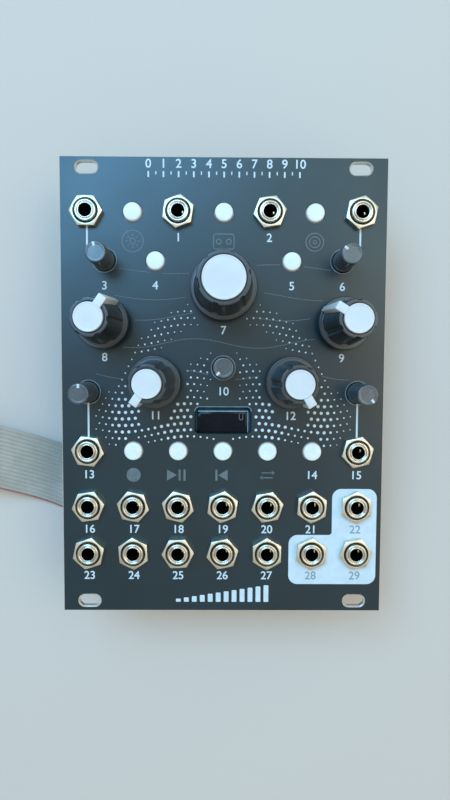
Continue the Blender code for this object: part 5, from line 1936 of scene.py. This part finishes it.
def make_display():
    """Two layers of glass with the cells on top, painted highlights along the glass's top and right edges, a
    blue seal, and the carrier behind.
    """
    low, high = BOXES["display_glass"]
    x, y = middle("display_glass")
    width, depth, height = span("display_glass")
    half = height / 2
    cells = ink_at([rounded(width - 0.0016, depth - 0.0016, 0.0002, (x, y - 0.0001), 2)], high.z)
    lower = (width - 0.0004, depth - 0.0002, half)
    piece("display_panel", [
        (block((x, y, high.z - half / 2), (width, depth, half), 0.00012), "display_glass"),
        (block((x, y, low.z + half / 2), lower, SMALL_EDGE), "display_glass"),
        (cells, "display_cells"),
    ], nodes=("display_glass",))
    line_z = high.z + INK / 2
    gasket = ink_at([
        rounded(WINDOW_WIDTH, WINDOW_HEIGHT, WINDOW_RADIUS, (0, WINDOW_Y)),
        rounded(width + 0.0001, depth + 0.0001, 0.0002, (x, y), 2),
    ], high.z - 0.0003)
    piece("display_seal", [
        (ink_at([notch_outline(high.x - 0.0021, high.y - 0.0008)], high.z + INK), "ink_grey"),
        # Painted highlights: a light blue line along the glass's top edge and a grey one along its right
        # edge.
        (block((x, high.y - 0.0001, line_z), (width - 0.0003, 0.00032, INK), 0), "edge_blue"),
        (block((high.x - 0.00014, y, line_z), (0.00022, depth - 0.0004, INK), 0), "edge_grey"),
        (gasket, "gasket_blue"),
    ])
    low, high = BOXES["display_carrier"]
    centre = (*middle("display_carrier"), (low.z + high.z) / 2)
    carrier = block(centre, span("display_carrier"), BROAD_EDGE, 3)
    piece("display_holder", [(carrier, "housing_black")], nodes=("display_carrier",))


def make_header():
    """A shrouded header: a floor, four walls with the key gap, and 16 gold pins."""
    low, high = BOXES["power_header"]
    x, y = middle("power_header")
    width, length, height = span("power_header")
    wall_z = low.z + height / 2
    side = (length - HEADER_KEY) / 2
    walls = [
        ((x, y, high.z - HEADER_FLOOR / 2), (width, length, HEADER_FLOOR)),
        ((low.x + HEADER_SIDE_WALL / 2, y, wall_z), (HEADER_SIDE_WALL, length, height)),
    ]
    for way in SIDES:
        place = (high.x - HEADER_SIDE_WALL / 2, y + way * (HEADER_KEY + side) / 2, wall_z)
        walls.append((place, (HEADER_SIDE_WALL, side, height)))
        place = (x, y + way * (length - HEADER_END_WALL) / 2, wall_z)
        walls.append((place, (width, HEADER_END_WALL, height)))
    shapes = in_look("housing_black", *(block(place, size, WIDE_EDGE) for place, size in walls))
    top = high.z - 0.0001
    foot = high.z - HEADER_FLOOR - PIN_LENGTH
    for along in even(PIN_COLUMNS, PIN_PITCH):
        for across in even(2, PIN_PITCH):
            place = (x + across, y + along, (foot + top) / 2)
            shapes.append((block(place, (PIN_SIDE, PIN_SIDE, top - foot), 0.00014), "gold_flash"))
    piece("power_header_shell", shapes, nodes=("power_header",))


def power_socket(x, y, foot):
    """The processor's USB socket: an oval steel sleeve, its tongue and its back."""
    half = SOCKET_LENGTH / 2
    sleeve = plate(
        [rounded(*SOCKET_OUTSIDE, ORIGIN, 5), rounded(*SOCKET_INSIDE, ORIGIN, 5)], -half, half, THIN_EDGE,
    )
    rotated(sleeve, ORIGIN, QUARTER, "X")
    moved(sleeve, (x, y, foot - SOCKET_DROP))
    tongue = block((x, y, foot - 0.0011), SOCKET_TONGUE, SMALL_EDGE)
    back = block((x, y - 0.0026, foot - SOCKET_DROP), SOCKET_BACK, SMALL_EDGE)
    return [(sleeve, "can_steel"), (tongue, "housing_black"), (back, "can_steel")]


def make_strip(x, y, top, node):
    """A pin strip on the processor board, its pins, and the socket that they stand in."""
    low, high = BOXES[node]
    plastic_top = low.z - SEAT_GAP
    tail = top - 0.0024
    pin_size = (STRIP_PIN_SIDE, STRIP_PIN_SIDE, plastic_top - tail)
    spacer_size = (STRIP_WIDTH, STRIP_PITCH, plastic_top - top)
    socket_size = (STRIP_WIDTH, STRIP_PITCH, high.z - low.z)
    solder = [(0, 0.0016), (0.0008, 0.0016), (0.0006, 0.0019), (0.0003, 0.0023), (0, 0.0024)]
    solder = [(radius, top - down) for radius, down in solder]
    shapes = []
    for along in even(STRIP_PINS, STRIP_PITCH):
        place = (x, y + along)
        shapes += [
            (block((*place, (top + plastic_top) / 2), spacer_size, WIDE_EDGE), "housing_black"),
            (block((*place, (tail + plastic_top) / 2), pin_size, SMALL_EDGE), "gold_flash"),
            (turned(solder, place, 10), "tinned_metal"),
            (block((*place, (low.z + high.z) / 2), socket_size, FIRM_EDGE), "housing_black"),
        ]
    piece(f"{node}_pins", shapes, nodes=(node,))


def make_processor():
    """The processor board with its pin strips, shield can, USB socket and small parts."""
    low, high = BOXES["processor_board"]
    x = PROCESSOR_X
    y = PROCESSOR_Y
    top = PROCESSOR_TOP_Z
    foot = top - BOARD_THICKNESS
    half = PROCESSOR_LENGTH / 2
    rear = Vector((low.x, y - half, foot))
    board_plate("processor_plate", "processor_board", rear, Vector((high.x, y + half, top)), 0.0010)
    shield = block((x, y, foot / 2 + 0.00005), (SHIELD_WIDTH, SHIELD_LENGTH, foot - 0.0001), BROAD_EDGE, 3)
    socket = power_socket(x, high.y - SOCKET_LENGTH / 2, foot)
    piece("processor_shield", [(shield, "can_steel"), *socket])
    details = chip_shapes((x, y - 0.0170), (0.0050, 0.0060, 0.0010), 5, 0.0, foot)
    for step in even(6, 0.0020):
        for along in (-0.0120, 0.0130):
            details += passive_shapes((x + step, y + along), "ceramic_tan", QUARTER, foot)
    piece("processor_parts", details)
    for side, word in zip(SIDES, ("left", "right")):
        make_strip(x + side * STRIP_REACH, y, top, f"socket_strip_{word}")


# The whole scene


def make_scene():
    make_camera()
    lay_ribbon()
    make_light()
    make_floor()
    make_panel()
    make_lines()
    make_numbers()
    make_head_scale()
    make_foot_ramp()
    make_icons()
    make_dots()
    make_waves()
    for name, nut_turn in zip(JACKS, NUT_TURNS):
        make_jack(name, nut_turn)
    for name in KNOBS:
        make_pot(name.replace("knob", "pot"))
        make_knob(name)
    for name in TRIMMERS:
        make_trimmer(name)
    for name in BUTTONS:
        make_button(name)
    make_board()
    make_display()
    make_header()
    make_processor()
    bpy.context.scene.view_settings.view_transform = "Standard"


make_scene()
